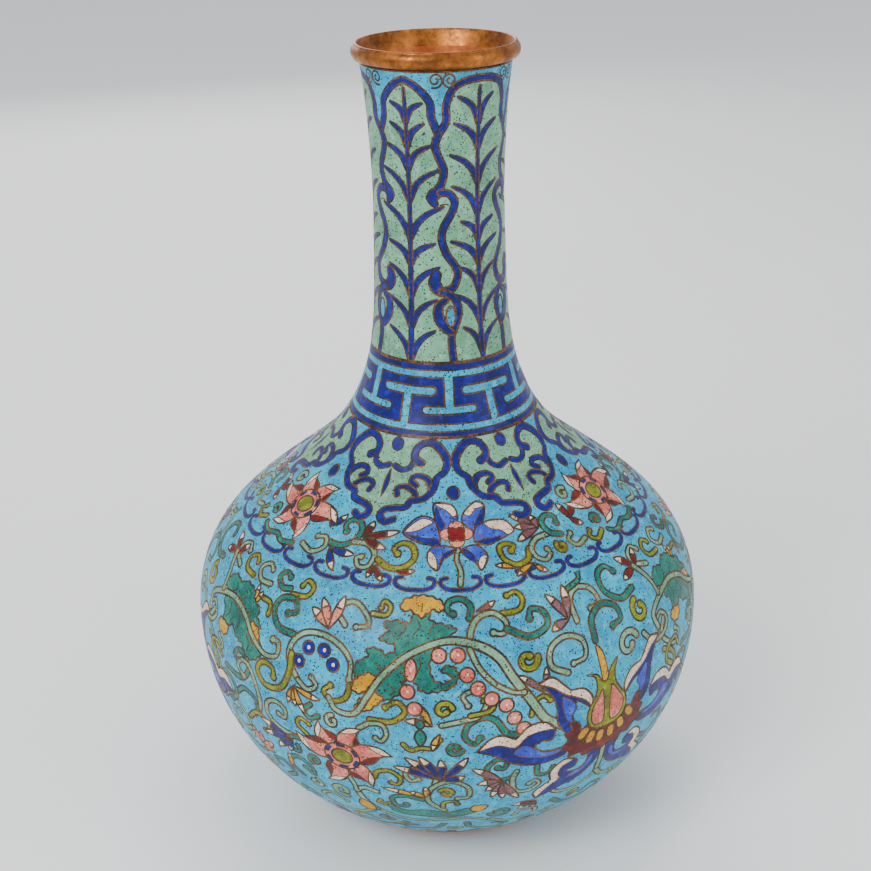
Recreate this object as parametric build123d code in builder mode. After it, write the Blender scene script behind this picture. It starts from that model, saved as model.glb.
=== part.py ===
"""Cloisonne bottle vase.

A raised copper vessel carries a thin layer of enamel, filled cell by cell between brass cloisons.
The copper body, the gilt rim, the foot ring, the base plate, each colour of enamel in each zone and
the cloisons are separate pieces. Lengths are in millimetres, +Z is up, and the origin is at the
centre of the foot, on the surface the vase stands on. Angles are in degrees around +Z, with 0 at the
front (-Y) and positive towards +X.
"""
import os
from math import cos, radians, sin

from build123d import *

os.makedirs("parts", exist_ok=True)

# Driving dimensions
HEIGHT = 245.7
RIM_RADIUS = 24.2
MOUTH_RADIUS = 22.3
THROAT_RADIUS = 20.6
RIM_HEIGHT = 4.8
ENAMEL = 0.8
COPPER = 1.0
CLOISON = 0.6
FOOT_RADIUS = 37.7
FOOT_WALL = 3.2
FOOT_DEPTH = 2.8
BASE_THICKNESS = 1.4

# Outside of the enamel, from the foot to the rim: (radius, height)
OUTLINE = [
    (34.9, 0.2), (45.0, 6.5), (57.9, 16.9), (70.2, 32.5), (77.2, 48.1), (79.9, 63.7), (79.2, 79.3),
    (72.4, 94.9), (59.0, 107.9), (45.5, 118.3), (36.0, 126.1), (29.8, 133.9), (25.8, 141.7),
    (23.1, 149.5), (20.7, 162.5), (19.7, 183.3), (19.3, 204.1), (19.9, 219.7), (21.7, 239.2),
    (22.1, 241.4),
]

# Heights where one zone of the decoration ends and the next begins
RIM_SEAT = HEIGHT - RIM_HEIGHT
NECK_BASE = 156.8
BAND_TOP = 154.2
FRET_TOP = 152.0
FRET_BASE = 139.2
BAND_BASE = 137.4
SHOULDER_TOP = 135.3
BELLY_TOP = 103.0
ENAMEL_BASE = 4.4
SEAM_HEIGHT = 71.0

# The pattern repeats in sixths of a turn, and its colours in thirds
SIXTH = 60
THIRD = 120
LAPPET_ANGLE = 34.5
DIVIDER_ANGLE = 4.5
FLOWER_ANGLE = 3.5
LOTUS_ANGLE = 35.0
SMALL_FLOWER_ANGLE = -24.0
LEAF_ANGLE = -6.0
SIDE_LEAF_ANGLE = 62.0
SCALLOP_STEP = 12
BELLY_SEAM = -20.0

REACH = 100.0
BAND_STROKE = 2.3
THIN_STROKE = 1.2
STROKE_STEP = 1.9
FROND_PAIRS = 9
FROND_PITCH = 8.6

WALL = Spline(*OUTLINE)


def outline(inset):
    """The outline moved inwards, square to the wall, by inset."""
    moved = []
    for point in OUTLINE:
        along = WALL.tangent_at(WALL.param_at_point(Vector(*point)))
        moved.append((point[0] - inset * along.Y, point[1] + inset * along.X))
    return moved


def radius_at(height):
    """Outside radius of the vase at a height, read straight between the outline's points."""
    for (low_r, low_z), (high_r, high_z) in zip(OUTLINE, OUTLINE[1:]):
        if low_z <= height <= high_z:
            return low_r + (high_r - low_r) * (height - low_z) / (high_z - low_z)
    return OUTLINE[-1][0]


def at(angle, height):
    """Where an angle and a height on the wall fall on the upright plane through the axis."""
    return (radius_at(height) * sin(radians(angle)), height)


def wall_ring(outer, inner, low, high):
    """A turned ring of wall between two insets and two heights."""
    with BuildPart() as ring:
        with BuildSketch(Plane.XZ):
            with BuildLine():
                outside = Spline(*outline(outer))
                inside = Spline(*outline(inner))
                Line(outside @ 0, inside @ 0)
                Line(outside @ 1, inside @ 1)
            make_face()
            with Locations((REACH / 2, (low + high) / 2)):
                Rectangle(REACH, high - low, mode=Mode.INTERSECT)
        revolve(axis=Axis.Z)
    return ring.part


def facing(height):
    """A plane square to the wall at the front, set back inside the vase, with its Y up the wall."""
    rise = 4.0
    run = radius_at(height + rise) - radius_at(height - rise)
    up = Vector(0, -run, 2 * rise).normalized()
    outward = Vector(1, 0, 0).cross(up)
    return Plane(Vector(0, -radius_at(height), height) - outward * 15, x_dir=(1, 0, 0), z_dir=outward)


def block(shape):
    """A shape on the front carried through the wall, as the outline that its enamel is cut to."""
    with BuildPart() as through:
        extrude(shape, amount=REACH)
    return through.part


def less(whole, *others):
    """A block with its neighbours' blocks cut out of it."""
    with BuildPart() as rest:
        add(whole)
        for other in others:
            add(other, mode=Mode.SUBTRACT)
    return rest.part


def ring(piece, first, step):
    """Copies of a piece round the vase, from the angle first, every step degrees."""
    return [piece.rotate(Axis.Z, first + count * step) for count in range(360 // step)]


def inlay(through, layer, first, step):
    """The enamel of a layer inside a block, repeated round the vase."""
    with BuildPart() as cell:
        add(through)
        add(layer, mode=Mode.INTERSECT, clean=False)
    return ring(cell.part, first, step)


def on_wall(points, side=1):
    """Points given as (angle, height), laid on the front and flipped where side is -1."""
    return [at(side * angle, height) for angle, height in points]


def ribbon(width, *lines, sides=(1,)):
    """Strokes of even width, each through (angle, height) points on the front, joined in one shape."""
    curves = [Spline(*on_wall(line, side)) for line in lines for side in sides]
    with BuildSketch(Plane.XZ) as shape:
        for curve in curves:
            steps = max(4, int(curve.length / STROKE_STEP))
            left, right = [], []
            for step in range(steps + 1):
                along = curve % (step / steps)
                across = Vector(-along.Y, along.X) * (width / 2)
                left.append(curve @ (step / steps) + across)
                right.insert(0, curve @ (step / steps) - across)
            with BuildLine():
                Polyline(*left, *right, close=True)
            make_face()
    return shape.sketch


def lappet(arch):
    """A tall leaf-shaped panel under half an arch of (angle, height) points and its mirror image."""
    with BuildSketch(Plane.XZ) as shape:
        with BuildLine():
            Spline(*on_wall(arch, 1))
            Polyline(
                at(*arch[-1]), (0, NECK_BASE), at(SIXTH / 2, NECK_BASE + 1), at(SIXTH / 2, 219),
                at(*arch[0]),
            )
        make_face()
        mirror(about=Plane.YZ)
    return shape.sketch


def frond(tip_angle, tip_height, foot_height, width):
    """A pair of pointed blades that curve up and out from the stem."""
    with BuildSketch(Plane.XZ) as shape:
        with BuildLine():
            tip = at(tip_angle, tip_height)
            rise = tip_height - foot_height
            Spline((0, foot_height), (0.5 * tip[0], foot_height + 0.62 * rise), tip)
            Spline(tip, (0.36 * tip[0], foot_height + 0.62 * rise + 0.4 * width), (0, foot_height + width))
            Line((0, foot_height + width), (0, foot_height))
        make_face()
        mirror(about=Plane.YZ)
    return shape.sketch


def leaf_spray():
    """The stem of a lappet with its pairs of blades."""
    with BuildSketch(Plane.XZ) as shape:
        with BuildLine():
            Polyline((-0.95, NECK_BASE), (0.95, NECK_BASE), (0.4, 235.5), (-0.4, 235.5), (-0.95, NECK_BASE))
        make_face()
        for count in range(FROND_PAIRS):
            foot = NECK_BASE + 2 + count * FROND_PITCH
            tip = foot + 0.95 * FROND_PITCH
            add(frond(min(15, 7 + 1.1 * (236 - tip)), tip, foot, 3.0))
    return shape.sketch


def closed_straight(*corners):
    """A straight-sided shape through (angle, height) corners on the front."""
    with BuildSketch(Plane.XZ) as shape:
        with BuildLine():
            Polyline(*on_wall(corners), close=True)
        make_face()
    return shape.sketch


def closed(plane, *points):
    """A closed smooth outline through points on a plane."""
    with BuildSketch(plane) as shape:
        with BuildLine():
            Spline(*points, periodic=True)
        make_face()
    return shape.sketch


def petals(plane, count, inner, outer, width, turn):
    """A ring of leaf-shaped petals round the middle of a plane."""
    with BuildSketch() as petal:
        with BuildLine():
            ThreePointArc((inner, 0), ((inner + outer) / 2, width / 2), (outer, 0))
            ThreePointArc((outer, 0), ((inner + outer) / 2, -width / 2), (inner, 0))
        make_face()
    with BuildSketch(plane) as shape:
        with PolarLocations(0, count, start_angle=turn):
            add(petal.sketch)
    return shape.sketch


def disc(plane, radius):
    """A round cell in the middle of a plane."""
    with BuildSketch(plane) as shape:
        Circle(radius)
    return shape.sketch


def berries(radius, points):
    """Blocks of round cells of one size, each with the angle that it stands at."""
    return [(block(disc(facing(height), radius)), angle) for angle, height in points]


def wedge(angle):
    """A block that takes in everything within an angle of the front, on both sides."""
    with BuildPart() as slice_of_vase:
        with BuildSketch(Plane.XY):
            with BuildLine():
                reach = (2 * REACH * sin(radians(angle)), -2 * REACH * cos(radians(angle)))
                Polyline((0, 0), reach, (0, -2 * REACH), (-reach[0], reach[1]), close=True)
            make_face()
        extrude(amount=HEIGHT)
    return slice_of_vase.part


def ground(layer, first, step, blocks):
    """What is left of a layer once blocks, each with its angle, are cut out of every step of it."""
    inside = [
        piece.rotate(Axis.Z, angle - first + turn)
        for piece, angle in blocks
        for turn in (-step, 0, step)
        if abs(angle - first + turn) < step
    ]
    return inlay(less(wedge(step / 2), *inside), layer, first, step)


# ---------------------------------------------------------------- the metal body

with BuildPart() as mouth_rim:
    with BuildSketch(Plane.XZ):
        with BuildLine():
            lip = MOUTH_RADIUS + 0.5
            Polyline((22.1, RIM_SEAT), (THROAT_RADIUS, RIM_SEAT), (lip - 0.5, HEIGHT - 0.5))
            ThreePointArc((lip - 0.5, HEIGHT - 0.5), (lip, HEIGHT), (lip + 0.5, HEIGHT - 0.5))
            ThreePointArc((lip + 0.5, HEIGHT - 0.5), (RIM_RADIUS, HEIGHT - 2.5), (23.3, RIM_SEAT + 0.3))
            Line((23.3, RIM_SEAT + 0.3), (22.1, RIM_SEAT))
        make_face()
    revolve(axis=Axis.Z)

with BuildPart() as neck_tube:
    add(wall_ring(ENAMEL, ENAMEL + COPPER, SHOULDER_TOP, RIM_SEAT))

with BuildPart() as shoulder_shell:
    add(wall_ring(ENAMEL, ENAMEL + COPPER, SEAM_HEIGHT, SHOULDER_TOP))

with BuildPart() as lower_body_shell:
    add(wall_ring(ENAMEL, ENAMEL + COPPER, FOOT_DEPTH, SEAM_HEIGHT))

with BuildPart() as foot_ring:
    with BuildSketch(Plane.XZ):
        with BuildLine():
            Polyline(
                (FOOT_RADIUS - FOOT_WALL, 0), (FOOT_RADIUS - 0.6, 0), (FOOT_RADIUS, 0.6),
                (FOOT_RADIUS, FOOT_DEPTH), (FOOT_RADIUS - FOOT_WALL, FOOT_DEPTH),
                (FOOT_RADIUS - FOOT_WALL, 0),
            )
        make_face()
    revolve(axis=Axis.Z)

with BuildPart() as base_plate:
    with BuildSketch(Plane.XY.offset(FOOT_DEPTH)):
        Circle(FOOT_RADIUS - 0.4)
    extrude(amount=BASE_THICKNESS)
    add(lower_body_shell.part, mode=Mode.SUBTRACT)

# ---------------------------------------------------------------- layers of enamel, zone by zone

neck_layer = wall_ring(0, ENAMEL, NECK_BASE + CLOISON, RIM_SEAT - CLOISON)
band_layer = wall_ring(0, ENAMEL, BAND_BASE + CLOISON, BAND_TOP)
fret_layer = wall_ring(0, ENAMEL, FRET_BASE, FRET_TOP)
shoulder_layer = wall_ring(0, ENAMEL, BELLY_TOP, SHOULDER_TOP)
belly_layer = wall_ring(0, ENAMEL, ENAMEL_BASE, BELLY_TOP)

# ---------------------------------------------------------------- neck

# Half of the arch over each kind of lappet, from the foot of the arch to its top
BROAD_ARCH = [(33.8, 222.8), (27, 227.2), (26, 232.1), (20, 236.3), (10, 237.7), (0, 238.0)]
NARROW_ARCH = [(26.2, 222.8), (20.5, 228), (19, 232), (12, 235.2), (5, 237.2), (0, 238.4)]
DIVIDER_UPPER = [
    (-3.8, 222.8), (-6.7, 219.9), (-3.8, 216.3), (0.1, 212.9), (-1.8, 209.3), (-6.7, 206.4),
    (-11.5, 205.0), (-8.6, 203.0),
]
DIVIDER_LOWER = [
    (-2.8, 206.4), (4.0, 206.1), (8.9, 203.6), (6.0, 200.4), (-0.8, 196.4), (-2.8, 192.9), (1.1, 188.6),
    (8.0, 185.0), (10.3, 182.2), (6.0, 178.6), (-3.7, 177.5), (-9.6, 180.0), (-7.6, 182.5),
]
DIVIDER_FOOT = [
    (-3.7, 177.5), (6.0, 175.7), (10.3, 172.2), (8.9, 168.6), (4.0, 164.3), (3.7, 160.8), (5.0, 157.0),
]
DIVIDER_LOOP = [(-0.5, 175.0), (-6.0, 172.6), (-6.0, 169.0), (-1.0, 165.8), (4.0, 164.3)]

DIVIDER_LINES = (DIVIDER_UPPER, DIVIDER_LOWER, DIVIDER_FOOT, DIVIDER_LOOP)
DROP = [(3.0, 173.4), (6.4, 170.2), (3.4, 167.0), (-0.6, 170.0)]

HALF = SIXTH / 2
BOTH = (1, -1)

# Blocks for one divider and its mirror image, which take turns round the neck
divider = block(ribbon(BAND_STROKE, *DIVIDER_LINES))
divider_back = divider.mirror(Plane.YZ)
drop = less(block(closed(Plane.XZ, *on_wall(DROP))), divider)
drop_back = drop.mirror(Plane.YZ)
spray = block(leaf_spray())


def lappet_blocks(arch, left, right, left_drop, right_drop):
    """Blocks for the arch over a lappet and the panel under it, clear of the dividers beside them."""
    beside = (left.rotate(Axis.Z, -HALF), right.rotate(Axis.Z, HALF))
    drops = (left_drop.rotate(Axis.Z, -HALF), right_drop.rotate(Axis.Z, HALF))
    over = less(block(ribbon(BAND_STROKE, arch, sides=BOTH)), *beside)
    return over, less(block(lappet(arch)), over, spray, *beside, *drops)


broad_arch, broad_panel = lappet_blocks(BROAD_ARCH, divider, divider_back, drop, drop_back)
narrow_arch, narrow_panel = lappet_blocks(NARROW_ARCH, divider_back, divider, drop_back, drop)
broad_first = LAPPET_ANGLE
narrow_first = LAPPET_ANGLE + SIXTH
back_first = DIVIDER_ANGLE + SIXTH

with BuildPart() as lappet_dividers:
    add(inlay(divider, neck_layer, DIVIDER_ANGLE, THIRD) + inlay(divider_back, neck_layer, back_first, THIRD))

with BuildPart() as lappet_arches:
    add(inlay(broad_arch, neck_layer, broad_first, THIRD))
    add(inlay(narrow_arch, neck_layer, narrow_first, THIRD))

with BuildPart() as lappet_panels:
    add(inlay(broad_panel, neck_layer, broad_first, THIRD))
    add(inlay(narrow_panel, neck_layer, narrow_first, THIRD))

with BuildPart() as neck_leaf_sprays:
    add(inlay(spray, neck_layer, LAPPET_ANGLE, SIXTH))

with BuildPart() as neck_drops:
    add(inlay(drop, neck_layer, DIVIDER_ANGLE, THIRD) + inlay(drop_back, neck_layer, back_first, THIRD))

gap = less(
    block(closed_straight((-33, 222.0), (33, 222.0), (33, RIM_SEAT), (-33, RIM_SEAT))),
    divider, broad_arch.rotate(Axis.Z, HALF), narrow_arch.rotate(Axis.Z, -HALF),
    block(lappet(BROAD_ARCH)).rotate(Axis.Z, HALF), block(lappet(NARROW_ARCH)).rotate(Axis.Z, -HALF),
)
half_sector = block(closed_straight((-HALF, 221.0), (HALF, 221.0), (HALF, HEIGHT), (-HALF, HEIGHT)))
gap = gap & half_sector

with BuildPart() as neck_sky_enamel:
    gap_back = gap.mirror(Plane.YZ)
    add(inlay(gap, neck_layer, DIVIDER_ANGLE, THIRD) + inlay(gap_back, neck_layer, back_first, THIRD))

# ---------------------------------------------------------------- key fret band

with BuildPart() as band_upper_border:
    add(wall_ring(0, ENAMEL, BAND_TOP + CLOISON, NECK_BASE))

with BuildPart() as band_lower_border:
    add(wall_ring(0, ENAMEL, SHOULDER_TOP + CLOISON, BAND_BASE))

with BuildSketch(Plane.XZ) as hanging_key:
    with Locations((0, 148.0)):
        Rectangle(2.8, 10.0)
    with Locations((0, 142.8)):
        SlotOverall(16.4, 2.3)

with BuildSketch(Plane.XZ) as standing_key:
    with Locations((0, 143.0)):
        Rectangle(2.8, 9.0)
    with Locations((0, 148.4)):
        SlotOverall(16.0, 2.4)

with BuildPart() as key_fret:
    add(fret_layer)
    add(ring(block(hanging_key.sketch), DIVIDER_ANGLE, SIXTH), mode=Mode.SUBTRACT, clean=False)
    add(ring(block(standing_key.sketch), LAPPET_ANGLE, SIXTH), mode=Mode.SUBTRACT, clean=False)

with BuildPart() as band_sky_enamel:
    add(band_layer)
    add(key_fret.part, mode=Mode.SUBTRACT, clean=False)

# ---------------------------------------------------------------- shoulder

RUYI_HALF = [
    (15, 129.1), (11.3, 130.3), (11.3, 132.2), (15, 133.8), (20.5, 133.8), (25.5, 131.9), (27.2, 129.5),
    (26, 127.2), (22.8, 125.8), (21.9, 124.1), (20.5, 122.9), (17.7, 121.6), (12.7, 121.0),
    (11.3, 119.8), (5.7, 119.1), (3.4, 118.5), (3.0, 117.3), (4.8, 116.4), (7.6, 117.0),
]
RUYI_BRACKET = [(1.9, 128.6), (5.7, 127.4), (9.0, 128.2), (11.3, 130.3)]
RUYI_CURL = [(20.5, 122.9), (20.4, 125.2), (17.3, 126.4), (13.0, 126.2), (11.6, 125.0), (14.0, 123.9)]
RUYI_FOLD = [(12.7, 121.0), (14.2, 122.2), (12.0, 123.4), (8.5, 123.8), (5.7, 122.9), (6.5, 121.6)]
RUYI_FILL = [(16, 135.2)] + RUYI_HALF[4:16] + [(-angle, height) for angle, height in RUYI_HALF[15:3:-1]]
RUYI_FILL += [(-16, 135.2)]
RUYI_ANGLE = FLOWER_ANGLE + SIXTH / 2

ruyi_edge = block(ribbon(1.9, RUYI_HALF, sides=BOTH))
ruyi_curls = less(block(ribbon(THIN_STROKE, RUYI_BRACKET, RUYI_CURL, RUYI_FOLD, sides=BOTH)), ruyi_edge)
upper_dot = block(disc(facing(132.6), 2.1))
lower_dot = block(disc(facing(123.0), 2.4))
teardrop = block(closed(Plane.XZ, (0, 127.6), (1.0, 124.0), (0, 121.0), (-1.0, 124.0)))
ruyi_fill = less(block(closed_straight(*RUYI_FILL)), ruyi_edge, ruyi_curls, upper_dot, teardrop)
ruyi_whole = block(closed_straight(*RUYI_FILL))

with BuildPart() as ruyi_borders:
    add(inlay(ruyi_edge, shoulder_layer, RUYI_ANGLE, SIXTH))

with BuildPart() as ruyi_inner_curls:
    add(inlay(ruyi_curls, shoulder_layer, RUYI_ANGLE, SIXTH))

with BuildPart() as shoulder_dots:
    for dot, first in ((upper_dot, RUYI_ANGLE), (teardrop, RUYI_ANGLE), (lower_dot, FLOWER_ANGLE)):
        add(inlay(dot, shoulder_layer, first, SIXTH))

with BuildPart() as ruyi_panels:
    add(inlay(ruyi_fill, shoulder_layer, RUYI_ANGLE, SIXTH))

flower_face = facing(115.2)
small_face = facing(56.0)
flower = block(petals(flower_face, 6, 4.4, 14.5, 6.4, 15))
small_flower = block(petals(small_face, 6, 5.0, 14.5, 6.8, 15))
flower_middle = block(disc(flower_face, 4.2))
small_middle = block(disc(small_face, 4.8))

with BuildPart() as blue_flower_petals:
    add(inlay(flower, shoulder_layer, FLOWER_ANGLE, THIRD))

with BuildPart() as red_flower_petals:
    add(inlay(flower, shoulder_layer, FLOWER_ANGLE + SIXTH, THIRD))
    add(inlay(small_flower, belly_layer, SMALL_FLOWER_ANGLE, THIRD))

with BuildPart() as flower_centres:
    add(inlay(flower_middle, shoulder_layer, FLOWER_ANGLE, SIXTH))
    add(inlay(small_middle, belly_layer, SMALL_FLOWER_ANGLE, THIRD))

TENDRILS = (
    [(14, 112.6), (18, 111.3), (19.5, 109.2), (17, 107.6), (14, 108.8)],
    [(23, 110.0), (27, 110.6), (28.2, 112.8), (25.5, 114.2), (23.0, 112.8)],
)
tendrils = less(block(ribbon(THIN_STROKE, *TENDRILS, sides=BOTH)), flower)
scallop = block(ribbon(1.1, [(-5.0, 106.0), (-4.6, 104.9), (0, 104.2), (4.6, 104.9), (5.0, 106.0)]))

with BuildPart() as shoulder_tendrils:
    add(inlay(tendrils, shoulder_layer, FLOWER_ANGLE, SIXTH))

with BuildPart() as scallop_border:
    add(inlay(scallop, shoulder_layer, FLOWER_ANGLE, SCALLOP_STEP))

shoulder_blocks = [(ruyi_edge, RUYI_ANGLE), (ruyi_whole, RUYI_ANGLE), (lower_dot, FLOWER_ANGLE)]
shoulder_blocks += [(flower, FLOWER_ANGLE), (flower_middle, FLOWER_ANGLE), (tendrils, FLOWER_ANGLE)]
shoulder_blocks += [(scallop, FLOWER_ANGLE + place * SCALLOP_STEP) for place in (-2, -1, 0, 1, 2)]

with BuildPart() as shoulder_sky_enamel:
    add(ground(shoulder_layer, FLOWER_ANGLE, SIXTH, shoulder_blocks))

# ---------------------------------------------------------------- belly

lotus_face = facing(58.0)
UPPER_PETAL = [(-11, 5), (-19, 13), (-21, 22), (-14, 17), (-5.5, 13.5), (-9, 9)]
SIDE_PETAL = [(-11, -5), (-24, -3), (-38, 4), (-26, 9.5), (-17, 5), (-14, 1)]
LOWER_PETAL = [(-1.5, -8), (-9, -19), (-20, -21), (-15, -13), (-15, -9), (-8, -10)]

lotus_petal_blocks = [
    block(closed(lotus_face, *[(side * x, y) for x, y in line]))
    for line in (UPPER_PETAL, SIDE_PETAL, LOWER_PETAL)
    for side in BOTH
]
pod = block(closed(lotus_face, (0, 16), (5.6, 8), (5.0, 2.6), (0, 1.6), (-5.0, 2.6), (-5.6, 8)))
cup = less(
    block(closed(lotus_face, (0, -6), (9, -4), (12.5, 0), (0, 1), (-12.5, 0), (-9, -4))),
    pod, *lotus_petal_blocks,
)

with BuildPart() as lotus_petals:
    for petal in lotus_petal_blocks:
        add(inlay(petal, belly_layer, LOTUS_ANGLE, THIRD))

with BuildPart() as lotus_pods:
    add(inlay(pod, belly_layer, LOTUS_ANGLE, THIRD))

with BuildPart() as lotus_cups:
    add(inlay(cup, belly_layer, LOTUS_ANGLE, THIRD))

LEAF = [
    (0, 5), (5, 3), (9, -1), (6, -5), (9, -9), (5, -12), (6, -18), (-2, -16), (-8, -22), (-10, -14),
    (-15, -9), (-10, -5), (-9, 1),
]

PINK_BERRIES = [
    (-2, 90.3), (2.2, 90.3), (3.8, 85.6), (6.2, 81.2), (9.0, 78.0), (12.0, 75.0), (13.6, 71.0),
    (-8.0, 87.0), (-8.4, 80.0), (-7.0, 75.4),
]
BLUE_BERRIES = [(-32, 87.6), (-28, 88.0), (-34.2, 83.4), (-25.2, 84.0)]

# Each stem: its middle angle, then points as (angle from the middle, height)
STEMS = [
    (-1, (-15, 84.0), (-10, 90.6), (-4, 94.2), (4, 93.8), (11, 88.4), (16, 79.0), (19, 68.0)),
    (-56, (-10, 84.0), (-4, 90.5), (3, 90.5), (9, 85.0), (16, 81.6), (20, 84.0)),
    (-29, (7.6, 80.0), (7, 87.0), (2, 91.8), (-5, 90.6), (-8.6, 84.0), (-6, 77.0)),
    (-22, (0, 40.0), (-1, 36.0), (3, 29.0), (12, 24.5), (21, 26.5), (28, 30.5)),
    (28, (-9, 84.5), (-6, 89.8), (-1, 90.0), (3, 86.0)),
    (0, (-4, 44.5), (1, 47.0), (4, 42.5), (0, 38.6)),
]

tip = closed(facing(101.0), (-5, -1.5), (-3.5, 1.0), (0, 1.8), (3.5, 1.0), (5, -1.5), (0, -3.4))
leaf_tip = block(tip)
leaf = less(block(closed(facing(94.0), *LEAF)), leaf_tip)
pink_blocks = berries(1.9, PINK_BERRIES)
blue_blocks = berries(1.7, BLUE_BERRIES)
stem_blocks = [(block(ribbon(1.7, points)), middle) for middle, *points in STEMS]
leaf_firsts = (LEAF_ANGLE, SIDE_LEAF_ANGLE)


def cut_by(whole, angle, neighbours):
    """A block at an angle, with neighbours at their own angles cut out of it in every third."""
    others = [
        other.rotate(Axis.Z, place - angle + turn)
        for other, place in neighbours
        for turn in (-THIRD, 0, THIRD)
    ]
    near = [other for other in others if other.bounding_box().min.Y < -REACH / 2]
    return less(whole, *near)


stem_blocks = [(cut_by(stem, middle, pink_blocks), middle) for stem, middle in stem_blocks]
leaf_blocks = [(cut_by(leaf, first, stem_blocks + pink_blocks), first) for first in leaf_firsts]

with BuildPart() as vine_leaves:
    for piece, first in leaf_blocks:
        add(inlay(piece, belly_layer, first, THIRD))

with BuildPart() as leaf_tips:
    for first in leaf_firsts:
        add(inlay(leaf_tip, belly_layer, first, THIRD))

with BuildPart() as pink_berries:
    for piece, angle in pink_blocks:
        add(inlay(piece, belly_layer, angle, THIRD))

with BuildPart() as blue_berries:
    for piece, angle in blue_blocks:
        add(inlay(piece, belly_layer, angle, THIRD))

with BuildPart() as scroll_stems:
    for piece, middle in stem_blocks:
        add(inlay(piece, belly_layer, middle, THIRD))

belly_blocks = [(petal, LOTUS_ANGLE) for petal in lotus_petal_blocks]
belly_blocks += [(pod, LOTUS_ANGLE), (cup, LOTUS_ANGLE)]
belly_blocks += [(small_flower, SMALL_FLOWER_ANGLE), (small_middle, SMALL_FLOWER_ANGLE)]
belly_blocks += [(leaf_tip, first) for first in leaf_firsts]
belly_blocks += leaf_blocks + pink_blocks + blue_blocks + stem_blocks

with BuildPart() as belly_sky_enamel:
    add(ground(belly_layer, BELLY_SEAM, THIRD, belly_blocks))

# ---------------------------------------------------------------- cloisons that ring the vase

with BuildPart() as neck_ring_cloisons:
    for low in (RIM_SEAT - CLOISON, NECK_BASE):
        add(wall_ring(0, ENAMEL, low, low + CLOISON))

with BuildPart() as band_ring_cloisons:
    for low in (BAND_TOP, BAND_BASE, SHOULDER_TOP):
        add(wall_ring(0, ENAMEL, low, low + CLOISON))

with BuildPart() as foot_ring_cloison:
    add(wall_ring(0, ENAMEL, FOOT_DEPTH, ENAMEL_BASE))

# ---------------------------------------------------------------- write every piece

PIECES = {
    "mouth_rim": mouth_rim,
    "neck_tube": neck_tube,
    "shoulder_shell": shoulder_shell,
    "lower_body_shell": lower_body_shell,
    "base_plate": base_plate,
    "foot_ring": foot_ring,
    "neck_ring_cloisons": neck_ring_cloisons,
    "band_ring_cloisons": band_ring_cloisons,
    "foot_ring_cloison": foot_ring_cloison,
    "neck_sky_enamel": neck_sky_enamel,
    "lappet_panels": lappet_panels,
    "lappet_arches": lappet_arches,
    "lappet_dividers": lappet_dividers,
    "neck_leaf_sprays": neck_leaf_sprays,
    "neck_drops": neck_drops,
    "band_upper_border": band_upper_border,
    "band_sky_enamel": band_sky_enamel,
    "key_fret": key_fret,
    "band_lower_border": band_lower_border,
    "shoulder_sky_enamel": shoulder_sky_enamel,
    "ruyi_panels": ruyi_panels,
    "ruyi_borders": ruyi_borders,
    "ruyi_inner_curls": ruyi_inner_curls,
    "shoulder_dots": shoulder_dots,
    "blue_flower_petals": blue_flower_petals,
    "red_flower_petals": red_flower_petals,
    "flower_centres": flower_centres,
    "shoulder_tendrils": shoulder_tendrils,
    "scallop_border": scallop_border,
    "belly_sky_enamel": belly_sky_enamel,
    "lotus_petals": lotus_petals,
    "lotus_pods": lotus_pods,
    "lotus_cups": lotus_cups,
    "vine_leaves": vine_leaves,
    "leaf_tips": leaf_tips,
    "pink_berries": pink_berries,
    "blue_berries": blue_berries,
    "scroll_stems": scroll_stems,
}

for name, piece in PIECES.items():
    piece.part.label = name
    export_step(piece.part, f"parts/{name}.step", write_pcurves=False)
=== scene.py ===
"""Looks of the cloisonne bottle vase.

The decoration is laid out flat, zone by zone, in degrees round the vase and millimetres down its wall.
Every cell of enamel and every cloison is an outline on that flat sheet. The outlines of a zone are cut
into one mosaic of triangles, each triangle takes the colour of the topmost outline over it, and the
mosaic is wrapped onto the wall of the CAD model, so that cells and wires meet edge to edge.
Angles are 0 at the front (-Y) and grow towards +X.
"""
import math

import bpy
import numpy as np
from mathutils import Matrix, Vector
from mathutils.bvhtree import BVHTree
from mathutils.geometry import delaunay_2d_cdt


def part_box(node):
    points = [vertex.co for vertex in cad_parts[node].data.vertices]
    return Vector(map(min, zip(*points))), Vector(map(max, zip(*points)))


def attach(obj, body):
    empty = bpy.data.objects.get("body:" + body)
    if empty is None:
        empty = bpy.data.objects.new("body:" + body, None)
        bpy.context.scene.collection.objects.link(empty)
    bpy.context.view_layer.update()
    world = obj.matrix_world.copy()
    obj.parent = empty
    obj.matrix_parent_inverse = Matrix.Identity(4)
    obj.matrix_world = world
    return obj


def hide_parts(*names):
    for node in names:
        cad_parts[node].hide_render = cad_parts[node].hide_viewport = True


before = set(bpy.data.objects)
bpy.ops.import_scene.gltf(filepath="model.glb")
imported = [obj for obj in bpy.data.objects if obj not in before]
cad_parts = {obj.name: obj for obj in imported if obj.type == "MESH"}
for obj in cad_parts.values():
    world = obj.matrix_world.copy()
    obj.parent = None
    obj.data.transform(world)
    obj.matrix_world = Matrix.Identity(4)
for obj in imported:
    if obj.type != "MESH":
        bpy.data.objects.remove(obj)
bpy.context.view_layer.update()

MM = 0.001
WIRE = 0.62            # width of a cloison
RIDGE = 0.07           # how far a cloison's crown stands above the enamel
STEP = 0.85            # spacing of points along a curve
GRID = 2.6             # spacing of the points that keep large cells round
BULB = 0.62            # radius of a stem's round end, as a share of the stem's width
THIRDS = (0, 120, 240)
RING_HALF = 0.25       # half the width of a cloison that runs right round the vase
FOOT_RING = 0.6        # width of the two cloisons above the foot
CAP_FROM = 0.25        # half width from which the end of a stroke is round
MOST_FACES = 150000    # a colour with more triangles than this is made as an upper and a lower piece
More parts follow.
